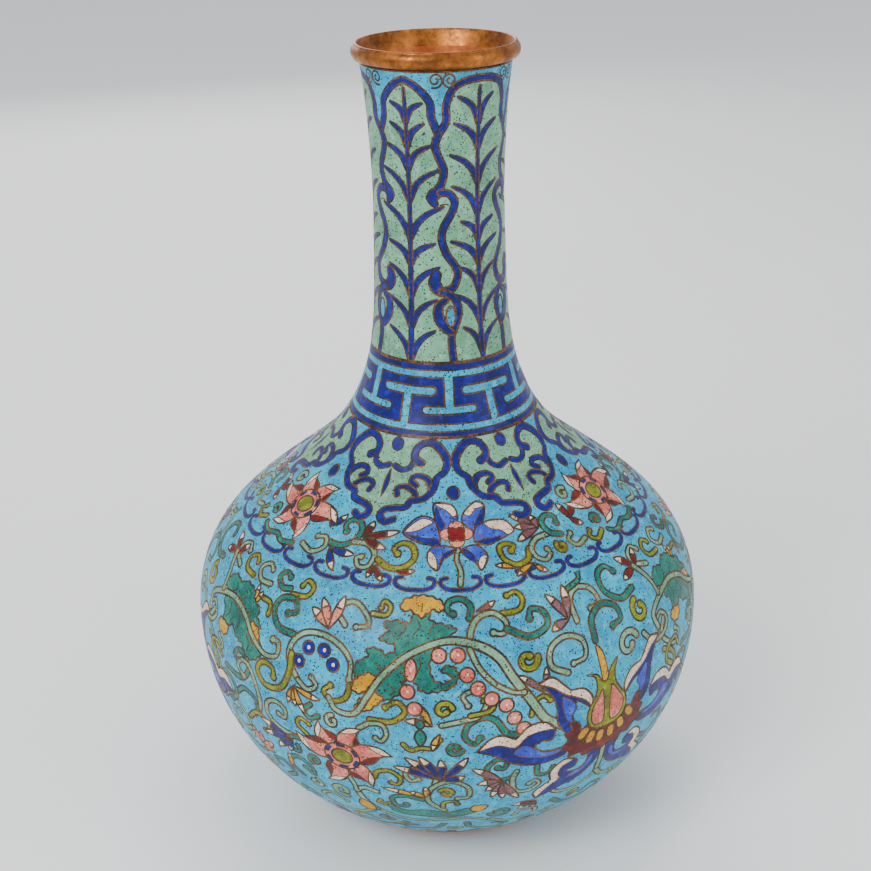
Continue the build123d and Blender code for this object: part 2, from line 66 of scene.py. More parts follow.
METAL_NODES = ("mouth_rim", "neck_tube", "shoulder_shell", "lower_body_shell", "foot_ring", "base_plate")

# Where the zones of decoration end, in millimetres down the wall from the top of the enamel
NECK_END = 83.2
BORDER_END = 85.4
FRET_TOP = 87.5
FRET_END = 101.3
BAND_END = 103.4
LOWER_BORDER_END = 105.2
SHOULDER_END = 153.6
WREATH_TO_FOOT = 270.6


# ---------------------------------------------------------------- the wall, read from the CAD model

def node_corners(name):
    low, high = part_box(name)
    return np.array(low) / MM, np.array(high) / MM


RIM_LOW, RIM_HIGH = node_corners("mouth_rim")
FOOT_LOW, FOOT_HIGH = node_corners("foot_ring")


def enamel_tree():
    """A search tree over the outside of the enamel and the cloisons that ring it."""
    points, faces, first = [], [], 0
    for name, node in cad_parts.items():
        if name in METAL_NODES:
            continue
        mesh = node.data
        mesh.calc_loop_triangles()
        spots = np.zeros(len(mesh.vertices) * 3)
        corners = np.zeros(len(mesh.loop_triangles) * 3, int)
        mesh.vertices.foreach_get("co", spots)
        mesh.loop_triangles.foreach_get("vertices", corners)
        points += spots.reshape(-1, 3).tolist()
        faces += (corners.reshape(-1, 3) + first).tolist()
        first += len(mesh.vertices)
    return BVHTree.FromPolygons(points, faces)


class Wall:
    """The outside of the vase as radius and height along the wall."""

    def __init__(self, levels=64, sides=48):
        tree = enamel_tree()
        top, bottom = RIM_LOW[2] - 0.3, FOOT_HIGH[2] + 0.3
        heights = top + (bottom - top) * np.linspace(0, 1, levels)
        radii = []
        for height in heights:
            found = 0.0
            for side in range(sides):
                turn = 2 * math.pi * side / sides
                out = Vector((math.cos(turn), math.sin(turn), 0))
                start = out * 0.2 + Vector((0, 0, height * MM))
                hit = tree.ray_cast(start, -out)[0]
                if hit is not None:
                    found = max(found, math.hypot(hit.x, hit.y) / MM)
            radii.append(found)
        radii = np.array(radii)
        radii[1:-1] = 0.25 * radii[:-2] + 0.5 * radii[1:-1] + 0.25 * radii[2:]
        fine = np.linspace(0, levels - 1, 1600)
        self.z = np.interp(fine, np.arange(levels), heights)
        self.r = catmull(radii, fine)
        steps = np.hypot(np.diff(self.z), np.diff(self.r))
        self.s = np.concatenate(([0.0], np.cumsum(steps))) - (RIM_LOW[2] - 239.2 - 0.3)
        slope_r, slope_z = np.gradient(self.r, self.s), np.gradient(self.z, self.s)
        self.out, self.up = -slope_z, slope_r

    def radius(self, s):
        return np.interp(s, self.s, self.r)

    def point(self, angle, s, lift=0.0):
        """Points in millimetres for angles and distances down the wall, lifted off it by lift."""
        turn = np.radians(angle)
        out, up = np.interp(s, self.s, self.out), np.interp(s, self.s, self.up)
        radius = np.interp(s, self.s, self.r) + lift * out
        height = np.interp(s, self.s, self.z) + lift * up
        return np.stack([radius * np.sin(turn), -radius * np.cos(turn), height], axis=-1)

    def normal(self, angle, s):
        turn = np.radians(angle)
        out, up = np.interp(s, self.s, self.out), np.interp(s, self.s, self.up)
        return np.stack([out * np.sin(turn), -out * np.cos(turn), up], axis=-1)


def catmull(values, at):
    """Values read along a smooth curve through evenly spaced ones."""
    padded = np.concatenate(([2 * values[0] - values[1]], values, [2 * values[-1] - values[-2]]))
    cell = np.clip(np.floor(at).astype(int), 0, len(values) - 2)
    t = at - cell
    a, b, c, d = padded[cell], padded[cell + 1], padded[cell + 2], padded[cell + 3]
    return b + 0.5 * t * (c - a + t * (2 * a - 5 * b + 4 * c - d + t * (3 * (b - c) + d - a)))


wall = Wall()


# ---------------------------------------------------------------- curves on the flat sheet

def smooth(points, closed=False, step=STEP):
    """A smooth run through points, as many points as its length needs."""
    p = np.array(points, float)
    if len(p) < 3 and not closed:
        count = max(1, int(round(np.hypot(*(p[-1] - p[0])) / step)))
        return p[0] + (p[-1] - p[0]) * np.linspace(0, 1, count + 1)[:, None]
    ends = (p[-1:], p[:2]) if closed else (2 * p[:1] - p[1:2], 2 * p[-1:] - p[-2:-1])
    padded = np.vstack([ends[0], p, ends[1]])
    run = []
    for i in range(len(padded) - 3):
        a, b, c, d = padded[i:i + 4]
        count = max(1, int(round(np.hypot(*(c - b)) / step)))
        t = (np.arange(count) / count)[:, None]
        run.append(b + 0.5 * t * (c - a + t * (2 * a - 5 * b + 4 * c - d + t * (3 * (b - c) + d - a))))
    if not closed:
        run.append(p[-1:])
    return np.vstack(run)


def joined(*runs):
    """One closed outline from smooth runs that meet at corners."""
    parts = [smooth(run)[:-1] for run in runs]
    return np.vstack(parts)


def tangents(line, closed=False):
    if closed:
        along = np.roll(line, -1, axis=0) - np.roll(line, 1, axis=0)
    else:
        along = np.gradient(line, axis=0)
    length = np.hypot(along[:, 0], along[:, 1])
    return along / np.maximum(length, 1e-9)[:, None]


def area(outline):
    x, y = outline[:, 0], outline[:, 1]
    return 0.5 * np.sum(x * np.roll(y, -1) - y * np.roll(x, -1))


def grown(outline, distance):
    """A closed outline moved outwards by distance."""
    sign = 1.0 if area(outline) > 0 else -1.0
    before = outline - np.roll(outline, 1, axis=0)
    after = np.roll(outline, -1, axis=0) - outline
    before /= np.maximum(np.hypot(before[:, 0], before[:, 1]), 1e-9)[:, None]
    after /= np.maximum(np.hypot(after[:, 0], after[:, 1]), 1e-9)[:, None]
    out_a = np.stack([before[:, 1], -before[:, 0]], axis=1) * sign
    out_b = np.stack([after[:, 1], -after[:, 0]], axis=1) * sign
    middle = out_a + out_b
    length = np.maximum(np.hypot(middle[:, 0], middle[:, 1]), 1e-6)
    reach = np.minimum(2.0 / length, 1.9)
    return outline + middle / length[:, None] * reach[:, None] * distance


def stroke(line, half, ends=True):
    """The outline of a stroke along a line, half being its half width at each point."""
    half = np.broadcast_to(half, len(line))
    along = tangents(line)
    across = np.stack([-along[:, 1], along[:, 0]], axis=1)
    left, right = line + across * half[:, None], line - across * half[:, None]
    parts = [left]
    for place, way in ((-1, 1), (0, -1)):
        if ends and half[place] > CAP_FROM:
            turn = np.radians(np.array([60, 30, 0, -30, -60]))
            cap = np.cos(turn)[:, None] * along[place] * way + np.sin(turn)[:, None] * across[place] * way
            parts.append(line[place] + cap * half[place])
        if place == -1:
            parts.append(right[::-1])
    return np.vstack(parts)


def spiral(start, heading, radius, turns, side, tighten=0.45):
    """A curl that goes on from a point, winding in towards its middle."""
    count = max(8, int(abs(turns) * 2 * math.pi * radius * 0.75 / STEP))
    run, place, way = [], np.array(start, float), heading
    for i in range(count):
        now = radius * (1 - (1 - tighten) * i / count)
        bend = side * turns * 2 * math.pi / count
        way += bend
        place = place + np.array([math.cos(way), math.sin(way)]) * now * abs(bend)
        run.append(place)
    return np.array(run)


def lobed(outline, depth=0.3, pitch=2.6):
    """A closed outline with small even lobes along it."""
    length = np.hypot(*(np.roll(outline, -1, axis=0) - outline).T)
    run = np.concatenate(([0], np.cumsum(length)[:-1]))
    count = max(3, round(length.sum() / pitch))
    wave = np.abs(np.sin(math.pi * count * run / length.sum())) - 0.5
    along = tangents(outline, closed=True)
    sign = 1.0 if area(outline) > 0 else -1.0
    return outline + np.stack([along[:, 1], -along[:, 0]], axis=1) * (sign * depth * 2 * wave)[:, None]


def circle(x, y, rx, ry=None):
    ry = rx if ry is None else ry
    count = max(8, int(2 * math.pi * max(rx, ry) / 0.7))
    turn = np.linspace(0, 2 * math.pi, count, endpoint=False)
    return np.stack([x + rx * np.cos(turn), y + ry * np.sin(turn)], axis=1)


# ---------------------------------------------------------------- a zone of decoration

class Zone:
    """One band of the wall: outlines in painting order, then a mosaic of them wrapped on the vase."""

    def __init__(self, name, top, bottom, ground):
        self.name, self.top, self.bottom, self.ground = name, top, bottom, ground
        self.shapes, self.ridges = [], []
        self.scale = math.radians(1) * float(wall.radius((top + bottom) / 2))

    def add(self, outline, colour):
        self.shapes.append((outline, colour))

    def pen(self, angle, s, flip=1):
        return Pen(self, angle, s, flip)

    def wrapped(self, outline):
        """The outline where it crosses the back seam too."""
        for shift in (-360, 0, 360):
            moved = outline + np.array([shift, 0])
            if moved[:, 0].max() > -180 and moved[:, 0].min() < 180:
                yield moved

    def bare_spots(self, top, bottom, least, most):
        """Round stretches of bare ground in one third: angle, distance down and radius, largest first."""
        angles, levels = np.arange(-60, 60, 0.4), np.arange(top - 4, bottom + 4, 0.5)
        spots = np.array([(angle, s) for s in levels for angle in angles])
        taken = (spots[:, 1] < top) | (spots[:, 1] > bottom)
        for outline, _ in self.shapes:
            for moved in self.wrapped(outline):
                low, high = moved.min(axis=0), moved.max(axis=0)
                near = np.nonzero(((spots >= low) & (spots <= high)).all(axis=1) & ~taken)[0]
                if len(near):
                    taken[near[covered(spots[near], moved)]] = True
        full = spots[taken]
        across = np.arange(-60, 60, 1.0)
        middles = np.array([(angle, s) for s in np.arange(top, bottom, 1.5) for angle in across])

        def gap(others, middle):
            turn = (others[:, 0] - middle[0] + 60) % 120 - 60
            return np.hypot(np.radians(turn) * wall.radius(middle[1]), others[:, 1] - middle[1])

        room = np.array([gap(full, middle).min() for middle in middles])
        while room.max() >= least:
            best = int(room.argmax())
            radius = min(float(room[best]), most)
            yield middles[best][0], middles[best][1], radius
            room = np.minimum(room, gap(middles, middles[best]) - radius)

    def mosaic(self):
        """Cuts the zone into triangles along every outline."""
        points, edges, crown = [], [], []

        def take(outline, closed, is_ridge):
            for moved in self.wrapped(outline):
                first, count = len(points), len(moved)
                points.extend(moved.tolist())
                crown.extend([is_ridge] * count)
                last = count if closed else count - 1
                edges.extend((first + i, first + (i + 1) % count) for i in range(last))

        rows = max(2, int((self.bottom - self.top) / GRID))
        columns = max(60, int(360 * self.scale / GRID))
        across = np.linspace(-180, 180, columns + 1)[:-1]
        down = np.linspace(self.top, self.bottom, rows + 1)[:-1]
        border = [(x, self.top) for x in across] + [(180, y) for y in down]
        border += [(-x, self.bottom) for x in across]
        border += [(-180, self.top + self.bottom - y) for y in down]
        points.extend(border)
        crown.extend([False] * len(border))
        edges.extend((i, (i + 1) % len(border)) for i in range(len(border)))
        for outline, colour in self.shapes:
            take(outline, True, False)
        for line, closed in self.ridges:
            take(line, closed, True)
        for row in range(1, rows):
            s = self.top + (self.bottom - self.top) * row / rows
            for column in range(columns):
                offset = 0.5 * (row % 2)
                points.append((-180 + 360 * (column + offset + 0.25) / columns, s))
                crown.append(False)
        flat = [Vector((x * self.scale, y)) for x, y in points]
        verts, _, faces, came_from, _, _ = delaunay_2d_cdt(flat, edges, [], 0, 1e-5)
        place = np.array([(v.x / self.scale, v.y) for v in verts])
        tri = np.array([f for f in faces if len(f) == 3])
        crowned = np.array([any(crown[i] for i in source) for source in came_from])
        return place, tri, crowned

    def colours(self, place, tri):
        """The colour of each triangle: the topmost outline over its middle."""
        middle = place[tri].mean(axis=1)
        inside = (np.abs(middle[:, 0]) <= 180) & (middle[:, 1] >= self.top) & (middle[:,
            1] <= self.bottom)
        order = np.argsort(middle[:, 1])
        ranked = middle[order]
        names = sorted({self.ground} | {colour for _, colour in self.shapes})
        colour_of = np.full(len(tri), names.index(self.ground))
        for outline, colour in self.shapes:
            for moved in self.wrapped(outline):
                low, high = moved.min(axis=0), moved.max(axis=0)
                a, b = np.searchsorted(ranked[:, 1], (low[1], high[1]))
                near = ranked[a:b]
                pick = np.nonzero((near[:, 0] >= low[0]) & (near[:, 0] <= high[0]))[0]
                if len(pick):
                    hit = pick[covered(near[pick], moved)]
                    colour_of[order[a + hit]] = names.index(colour)
        return names, np.where(inside, colour_of, -1)

    def build(self):
        """Makes the meshes of each colour in the zone and returns them as pairs of colour and piece."""
        place, tri, crowned = self.mosaic()
        names, colour_of = self.colours(place, tri)
        wire = names.index("wire") if "wire" in names else -2
        other = np.zeros(len(place), bool)
        other[tri[colour_of != wire].ravel()] = True
        lift = np.where(crowned & ~other, RIDGE, 0.0)
        made = []
        for number, colour in enumerate(names):
            mine = tri[colour_of == number]
            shares = {"": mine}
            if len(mine) > MOST_FACES:
                level = place[mine, 1].mean(axis=1)
                lower = level > np.median(level)
                shares = {"": mine[~lower], "_lower": mine[lower]}
            for suffix, share in shares.items():
                if not len(share):
                    continue
                used, renumbered = np.unique(share, return_inverse=True)
                angle, s = place[used, 0], place[used, 1]
                piece = new_mesh(
                    f"{self.name}_{colour}{suffix}", wall.point(angle, s, lift[used]) * MM,
                    renumbered.reshape(-1, 3)[:, ::-1],
                    None if colour == "wire" else wall.normal(angle, s),
                )
                made.append((colour, piece))
        return made


def covered(spots, outline):
    """Which spots lie inside an outline, counting its windings."""
    a, b = outline, np.roll(outline, -1, axis=0)
    wind = np.zeros(len(spots), int)
    for start in range(0, len(a), 64):
        p, q = a[start:start + 64], b[start:start + 64]
        y = spots[:, 1][:, None]
        cross = (q[:, 0] - p[:, 0]) * (y - p[:, 1]) - (spots[:, 0][:, None] - p[:, 0]) * (q[:, 1] - p[:,
            1])
        wind += ((p[:, 1] <= y) & (q[:, 1] > y) & (cross > 0)).sum(axis=1)
        wind -= ((p[:, 1] > y) & (q[:, 1] <= y) & (cross < 0)).sum(axis=1)
    return wind != 0


def new_mesh(name, points, faces, normals=None):
    mesh = bpy.data.meshes.new(name)
    mesh.from_pydata(points.tolist(), [], faces.tolist())
    mesh.validate()
    mesh.polygons.foreach_set("use_smooth", [True] * len(mesh.polygons))
    if normals is not None and len(normals) == len(mesh.vertices):
        mesh.normals_split_custom_set_from_vertices(normals.tolist())
    piece = bpy.data.objects.new(name, mesh)
    bpy.context.scene.collection.objects.link(piece)
    return piece


class Pen:
    """Draws in millimetres round a spot on the wall, x to the right and y down."""

    def __init__(self, zone, angle, s, flip):
        self.zone, self.angle, self.s, self.flip = zone, angle, s, flip

    def put(self, outline):
        s = self.s + outline[:, 1]
        return np.stack([self.angle + np.degrees(self.flip * outline[:, 0] / wall.radius(s)), s], axis=1)

    def cell(self, outline, colour, wire=WIRE):
        """A cell of enamel with its cloison centred on the outline."""
        self.zone.add(self.put(grown(outline, wire / 2)), "wire")
        self.zone.add(self.put(grown(outline, -wire / 2)), colour)
        self.zone.ridges.append((self.put(outline), True))

    def fill(self, outline, colour):
        self.zone.add(self.put(outline), colour)

    def strip(self, line, width, colour, wire=WIRE):
        """A stem of enamel between two cloisons; width is one number or one for each point."""
        half = np.broadcast_to(np.asarray(width, float) / 2, len(line))
        self.zone.add(self.put(stroke(line, half + wire)), "wire")
        self.zone.add(self.put(stroke(line, half)), colour)
        self.zone.ridges.append((self.put(stroke(line, half + wire / 2)), True))

    def thread(self, line, width=WIRE):
        """A bare cloison."""
        self.zone.add(self.put(stroke(line, width / 2)), "wire")
        self.zone.ridges.append((self.put(line), False))

    def tendril(self, points, colour, width, taper=0.6):
        """A stem through points that thins towards its end and closes in a round bulb."""
        line = smooth(points, step=0.7)
        share = np.linspace(0, 1, len(line))
        half = width * (1 - (1 - taper) * share ** 1.5) / 2
        bulb = circle(line[-1][0], line[-1][1], BULB * width)
        stem = stroke(line, half)
        for outline, tint in (
            (stroke(line, half + WIRE), "wire"), (grown(bulb, WIRE), "wire"), (stem, colour),
            (bulb, colour),
        ):
            self.zone.add(self.put(outline), tint)
        self.zone.ridges.append((self.put(stroke(line, half + WIRE / 2)), True))


# ---------------------------------------------------------------- motifs

def to_mm(points):
    """Points measured as (angle, distance down the wall), as millimetres from the first of them."""
    p = np.array(points, float)
    x = np.radians(p[:, 0] - p[0, 0]) * wall.radius(p[:, 1])
    return np.stack([x, p[:, 1] - p[0, 1]], axis=1)


def laid(points, flip=1):
    """Points given as (angle from a middle, distance down the wall), as millimetres across and down."""
    p = np.array(points, float)
    return np.stack([flip * np.radians(p[:, 0]) * wall.radius(p[:, 1]), p[:, 1]], axis=1)


def thirds(zone, points):
    """The points in millimetres, with a pen at the first of them in each third of the vase."""
    line = to_mm(points)
    return line, [zone.pen(points[0][0] + turn, points[0][1]) for turn in THIRDS]


def vine(zone, points, colour, width=1.7, taper=0.62):
    """A stem through (angle, distance) points that ends in a bulb, repeated in every third."""
    line, pens = thirds(zone, points)
    for pen in pens:
        pen.tendril(line, colour, 0.74 * width, taper)


def cell(zone, points, colour):
    """A smooth closed cell through (angle, distance) points, repeated in every third."""
    line, pens = thirds(zone, points)
    for pen in pens:
        pen.cell(smooth(line, closed=True), colour)


def leaf_shape(base, tip, width, bend=0.0):
    """A pointed leaf from base to tip, bowed to one side by bend."""
    base, tip = np.array(base, float), np.array(tip, float)
    along = tip - base
    length = max(np.hypot(*along), 0.5)
    across = np.array([-along[1], along[0]]) / length
    t = np.linspace(0, 1, max(7, int(length / 0.8)))
    middle = base + along * t[:, None] + across * (bend * np.sin(math.pi * t))[:, None]
    half = 0.5 * width * np.sin(math.pi * t ** 1.25) ** 0.8 + 0.12
    return middle, half


def draw_leaf(pen, base, tip, width, colour, tip_colour=None, bend=0.0, split=0.55):
    """A leaf cell, with its outer part in a second colour behind a cloison."""
    middle, half = leaf_shape(base, tip, width, bend)
    pen.cell(stroke(middle, half, ends=False), colour)
    if tip_colour:
        first = int(len(middle) * split)
        if len(middle) - first >= 3:
            pen.cell(stroke(middle[first:], half[first:] * 0.96, ends=False), tip_colour)


def spray(zone, base, tips, colour, tip_colour, width=2.9, bend=0.35, split=0.66):
    """Leaves fanned from one base to several tips, repeated in every third."""
    line, pens = thirds(zone, [base] + list(tips))
    for pen in pens:
        for tip in line[1:]:
            draw_leaf(pen, line[0], tip, 0.78 * width, colour, tip_colour, bend, split)


# A round berry cell with a small white dot near its middle, painted on as the berry's highlight, repeated
# in every third.
def berry(zone, angle, s, radius, colour, highlight_tint, tall=1.0, share=0.18):
    for turn in THIRDS:
        pen = zone.pen(angle + turn, s)
        pen.cell(circle(0, 0, radius, radius * tall), colour)
        # Painted highlight: a small white dot with no cloison round it, a little up and to the right of
        # the berry's middle.
        pen.fill(circle(0.1, -0.1, radius * share, radius * share * 1.15 * tall), highlight_tint)


def jagged(zone, outline_points, colour, veins=()):
    """A leaf with a lobed edge, and its veins as bare cloisons."""
    line, pens = thirds(zone, outline_points)
    for pen in pens:
        pen.cell(lobed(smooth(line, closed=True, step=0.6)), colour)
    for vein in veins:
        run, vein_pens = thirds(zone, vein)
        for pen in vein_pens:
            pen.thread(smooth(run), 0.42)


def filler_curls(zone, top, bottom, least, most):
    """A small curl in every bare round of ground, in three greens by turns."""
    colours = ("celadon", "teal", "olive")
    for number, (angle, s, room) in enumerate(list(zone.bare_spots(top, bottom, least, most))):
        width = min(1.5, 0.32 * room)
        reach = room - width / 2 - WIRE
        side = 1 if number % 2 else -1
        start = 2.4 * number
        curl = spiral((reach * math.cos(start), reach * math.sin(start)), start + side * math.pi / 2,
            reach, 0.95, side, 0.34)
        for turn in THIRDS:
            zone.pen(angle + turn, s).tendril(curl, colours[number % 3], width, 0.85)


# ---------------------------------------------------------------- neck

BROAD_ARCH = [(33.8, 16.4), (27.6, 12.6), (27.4, 8.2), (22, 3.6), (12, 1.7), (0, 1.2)]
NARROW_ARCH = [(26.2, 16.4), (21, 11.6), (20, 7.4), (13, 4), (6, 2.0), (0, 1.0)]
DIVIDER = (
    [(-3.8, 16.4), (-6.7, 19.3), (-3.8, 22.9), (0.1, 26.4), (-1.8, 30), (-6.7, 32.9), (-11.5, 34.3),
        (-8, 36)],
    [(-2.8, 32.9), (4, 33.2), (8.9, 35.7), (6, 38.9), (-0.8, 42.9), (-2.8, 46.4), (1.1, 50.7), (8, 54.3),
     (10.3, 57.1), (6, 60.7), (-3.7, 61.8), (-9.6, 59.3), (-7.6, 56.8)],
    [(-3.7, 61.8), (6, 63.6), (10.3, 67.1), (8.9, 70.7), (4, 75), (3.7, 78.6), (5, 84)],
)
CRESCENT = [(0, 64.3), (-6, 66), (-6.5, 69.3), (-1, 72.9), (4, 74.2)]

# Blades of a leaf spray: tip, reach to the left and to the right, foot, all in millimetres
NARROW_FRONDS = (
    (7.6, 4.6, 5, 11.5), (13.4, 5.2, 5.2, 18.5), (19.5, 7.2, 6.8, 25), (26.5, 8.8, 8.8, 34),
    (37, 9.6, 9.8, 45), (47.7, 7.5, 7.2, 52.5), (54.7, 7.7, 8.4, 62), (64.3, 8.4, 7.6, 71.5),
    (73.6, 7.8, 7.2, 81.5),
)
BROAD_FRONDS = (
    (6, 6.6, 5, 12.5), (13.5, 7.4, 6.6, 19.5), (22.3, 8.4, 7.6, 29.5), (31.3, 7.8, 7.2, 38.5),
    (41.6, 5.3, 5.8, 46), (47.2, 8.4, 7.6, 53), (55, 6, 6, 61.5), (63, 7.9, 8.4, 71), (73, 5.6, 6.8, 80),
)


def neck_divider(zone, middle, flip):
    """The knotted cloud scroll between two lappets."""
    pen = zone.pen(middle, 0, flip)

    for line, hook in zip(DIVIDER, (0.82, 0.92, 0.0)):
        run = smooth(laid(line))
        share = np.linspace(0, 1, len(run))
        swell = np.exp(-((share - hook) / 0.09) ** 2) if hook else np.zeros(len(run))
        pen.strip(run, 1.3 + 1.5 * swell, "cobalt")
    loop = smooth(laid(CRESCENT))
    swell = np.sin(math.pi * np.linspace(0, 1, len(loop)))
    pen.strip(loop, 0.9 + 1.4 * swell, "cobalt")
    drop = laid([(3.5, 69.3)])[0]
    pen.cell(circle(drop[0], drop[1], 1.35, 3.1), "sky")
    pen.thread(smooth(laid([(-2.8, 36.4), (1.5, 36.2), (4.2, 36.6)])), 0.4)
    pen.thread(smooth(laid([(-6.3, 62.4), (-3.7, 61.0), (-1, 62.2)])), 0.4)
    for side in (1, -1):
        curl = spiral((side * 3.9, 0.4), math.pi / 2 + side * 0.5, 2.3, 1.6, side, tighten=0.2)
        zone.pen(middle, 2.2, flip).thread(curl, WIRE)


def neck_lappet(zone, middle, arch):
    """A tall panel under an arch."""
    pen = zone.pen(middle, 0)

    left = smooth(laid(arch, -1))
    right = smooth(laid(arch))
    over = np.vstack([left, right[::-1][1:]])
    skirt = laid([(30.5, 20), (30.5, 50), (30.5, 84.5), (-30.5, 84.5), (-30.5, 50), (-30.5, 20)])
    pen.fill(np.vstack([over, skirt]), "sage")
    pen.strip(over, 1.3, "cobalt")


def neck_spray(zone, middle, fronds):
    """The leafy spray that fills a lappet."""
    pen = zone.pen(middle, 0)
    for tip, reach_left, reach_right, foot in fronds:
        height = foot - tip
        for reach, way in ((reach_left, -1), (reach_right, 1)):
            path = [(0, foot + 1.2), (0.24 * reach, tip + 0.6 * height),
                (0.57 * reach, tip + 0.24 * height),
                    (reach, tip)]
            line = smooth([(way * x, y) for x, y in path], step=0.7)
            share = np.linspace(0, 1, len(line))
            pen.strip(line, 0.1 + 2.2 * (1 - share) ** 0.7 * (0.6 + 0.4 * share), "cobalt", 0.46)
    stem = smooth([(0, 3.6), (0, 40), (0, 84.5)], step=1.2)
    pen.strip(stem, np.linspace(0.45, 1.15, len(stem)), "cobalt", 0.46)


def build_neck():
    zone = Zone("neck", wall.s[0] + 0.02, NECK_END, "sky")
    stretches = [(-25.5 + turn, NARROW_ARCH, NARROW_FRONDS) for turn in THIRDS]
    stretches += [(34.5 + turn, BROAD_ARCH, BROAD_FRONDS) for turn in THIRDS]
    for middle, arch, _ in stretches:
        neck_lappet(zone, middle, arch)
    for middle, _, fronds in stretches:
        neck_spray(zone, middle, fronds)
    for turn in THIRDS:
        neck_divider(zone, 4.5 + turn, 1)
        neck_divider(zone, 64.5 + turn, -1)
    for s in (zone.top + RING_HALF, NECK_END - RING_HALF):
        ring_line(zone, s)
    return zone


def ring_line(zone, s, width=2 * RING_HALF):
    """A cloison right round the vase."""
    count = 240
    angles = np.linspace(-180, 180, count + 1)
    upper = np.stack([angles, np.full(count + 1, s - width / 2)], axis=1)
    lower = np.stack([angles[::-1], np.full(count + 1, s + width / 2)], axis=1)
    zone.shapes.append((np.vstack([upper, lower]), "wire"))


# ---------------------------------------------------------------- key fret band

def belt(zone, top, bottom, colour):
    """A plain band of one colour between two levels."""
    angles = np.linspace(-180, 180, 121)
    upper = np.stack([angles, np.full(121, top)], axis=1)
    lower = np.stack([angles[::-1], np.full(121, bottom)], axis=1)
    zone.shapes.append((np.vstack([upper, lower]), colour))


def key(stem_half, stem_from, stem_to, head_half, head_from, head_to):
    """A key of the fret: a straight stem with a round-ended bar across its end."""
    bar = stroke(smooth([(-head_half + 1.1, 0), (head_half - 1.1, 0)]), (head_to - head_from) / 2)
    bar = bar + np.array([0, (head_from + head_to) / 2])
    stem = np.array([(-stem_half, stem_from), (stem_half, stem_from), (stem_half, stem_to),
        (-stem_half, stem_to)])
    return bar, stem


def build_band():
    zone = Zone("band", NECK_END, LOWER_BORDER_END, "cobalt")
    belt(zone, BORDER_END, FRET_TOP, "sky")
    belt(zone, FRET_END, BAND_END, "sky")
    for s in (BORDER_END, FRET_TOP, FRET_END, BAND_END, LOWER_BORDER_END - RING_HALF,
        NECK_END + RING_HALF):
        ring_line(zone, s)
    for step in range(6):
        keys = (
            (4.5 + 60 * step, key(1.45, 86.8, 97.2, 8.2, 96.0, 98.4)),
            (34.5 + 60 * step, key(1.4, 91.5, 102.2, 8.3, 90.2, 92.8)),
        )
        for middle, shapes in keys:
            pen = zone.pen(middle, 0)
            for shape in shapes:
                pen.fill(grown(shape, WIRE / 2), "wire")
            for shape in shapes:
                pen.fill(grown(shape, -WIRE / 2), "sky")
    belt(zone, BORDER_END + RING_HALF, FRET_TOP - RING_HALF, "sky")
    belt(zone, FRET_END + RING_HALF, BAND_END - RING_HALF, "sky")
    return zone


# ---------------------------------------------------------------- shoulder

RUYI = [
    (15, 113), (11.3, 111.5), (11.3, 109), (15, 107), (20.5, 106.8), (26, 109.5), (28, 112.5),
    (26.5, 115.5),
    (22.8, 117.5), (21.9, 120), (20.5, 122), (17.7, 124), (12.7, 125), (11.3, 127), (5.7, 128), (3, 129),
    (2.5, 131), (4.8, 132.5), (7.6, 131.5),
]
RUYI_THIN = (
    [(1.6, 114.5), (5.7, 115.5), (9.4, 114.5), (11.3, 112)],
    [(20.5, 121.5), (20, 119), (17.3, 117.2), (13, 117), (11.3, 118.5), (14, 120)],
    [(12.7, 124.6), (14.5, 123.5), (12.7, 121.5), (8.5, 120.5), (5.7, 121.5), (6.5, 123.5)],
)


def ruyi(zone, middle):
    """A ruyi head: a sage cell in a cobalt cloud border, with thin cobalt curls inside."""
    pen = zone.pen(middle, 0)
    side = RUYI[4:17]
    inside = np.vstack([smooth(laid(side)), smooth(laid(side, -1))[::-1]])
    ceiling = np.vstack([laid([(-20.5, 104.0)]), laid([(20.5, 104.0)])])
    pen.fill(np.vstack([ceiling, inside]), "sage")
    for flip in (1, -1):
        for line in RUYI_THIN:
            pen.strip(smooth(laid(line, flip)), 1.1, "cobalt", 0.5)
        pen.strip(smooth(laid(RUYI, flip)), 1.5, "cobalt", 0.56)
    drop = joined(laid([(0, 115.5), (1.15, 119), (0.9, 122), (0, 125)]),
        laid([(0, 125), (-0.9, 122), (-1.15, 119), (0, 115.5)]))
    pen.cell(drop, "cobalt", 0.38)
    pen.cell(circle(0, 107.9, 1.9, 2.1), "cobalt", 0.38)
    zone.pen(middle - 30, 0).cell(circle(0, 122.2, 1.85, 2.15), "cobalt")


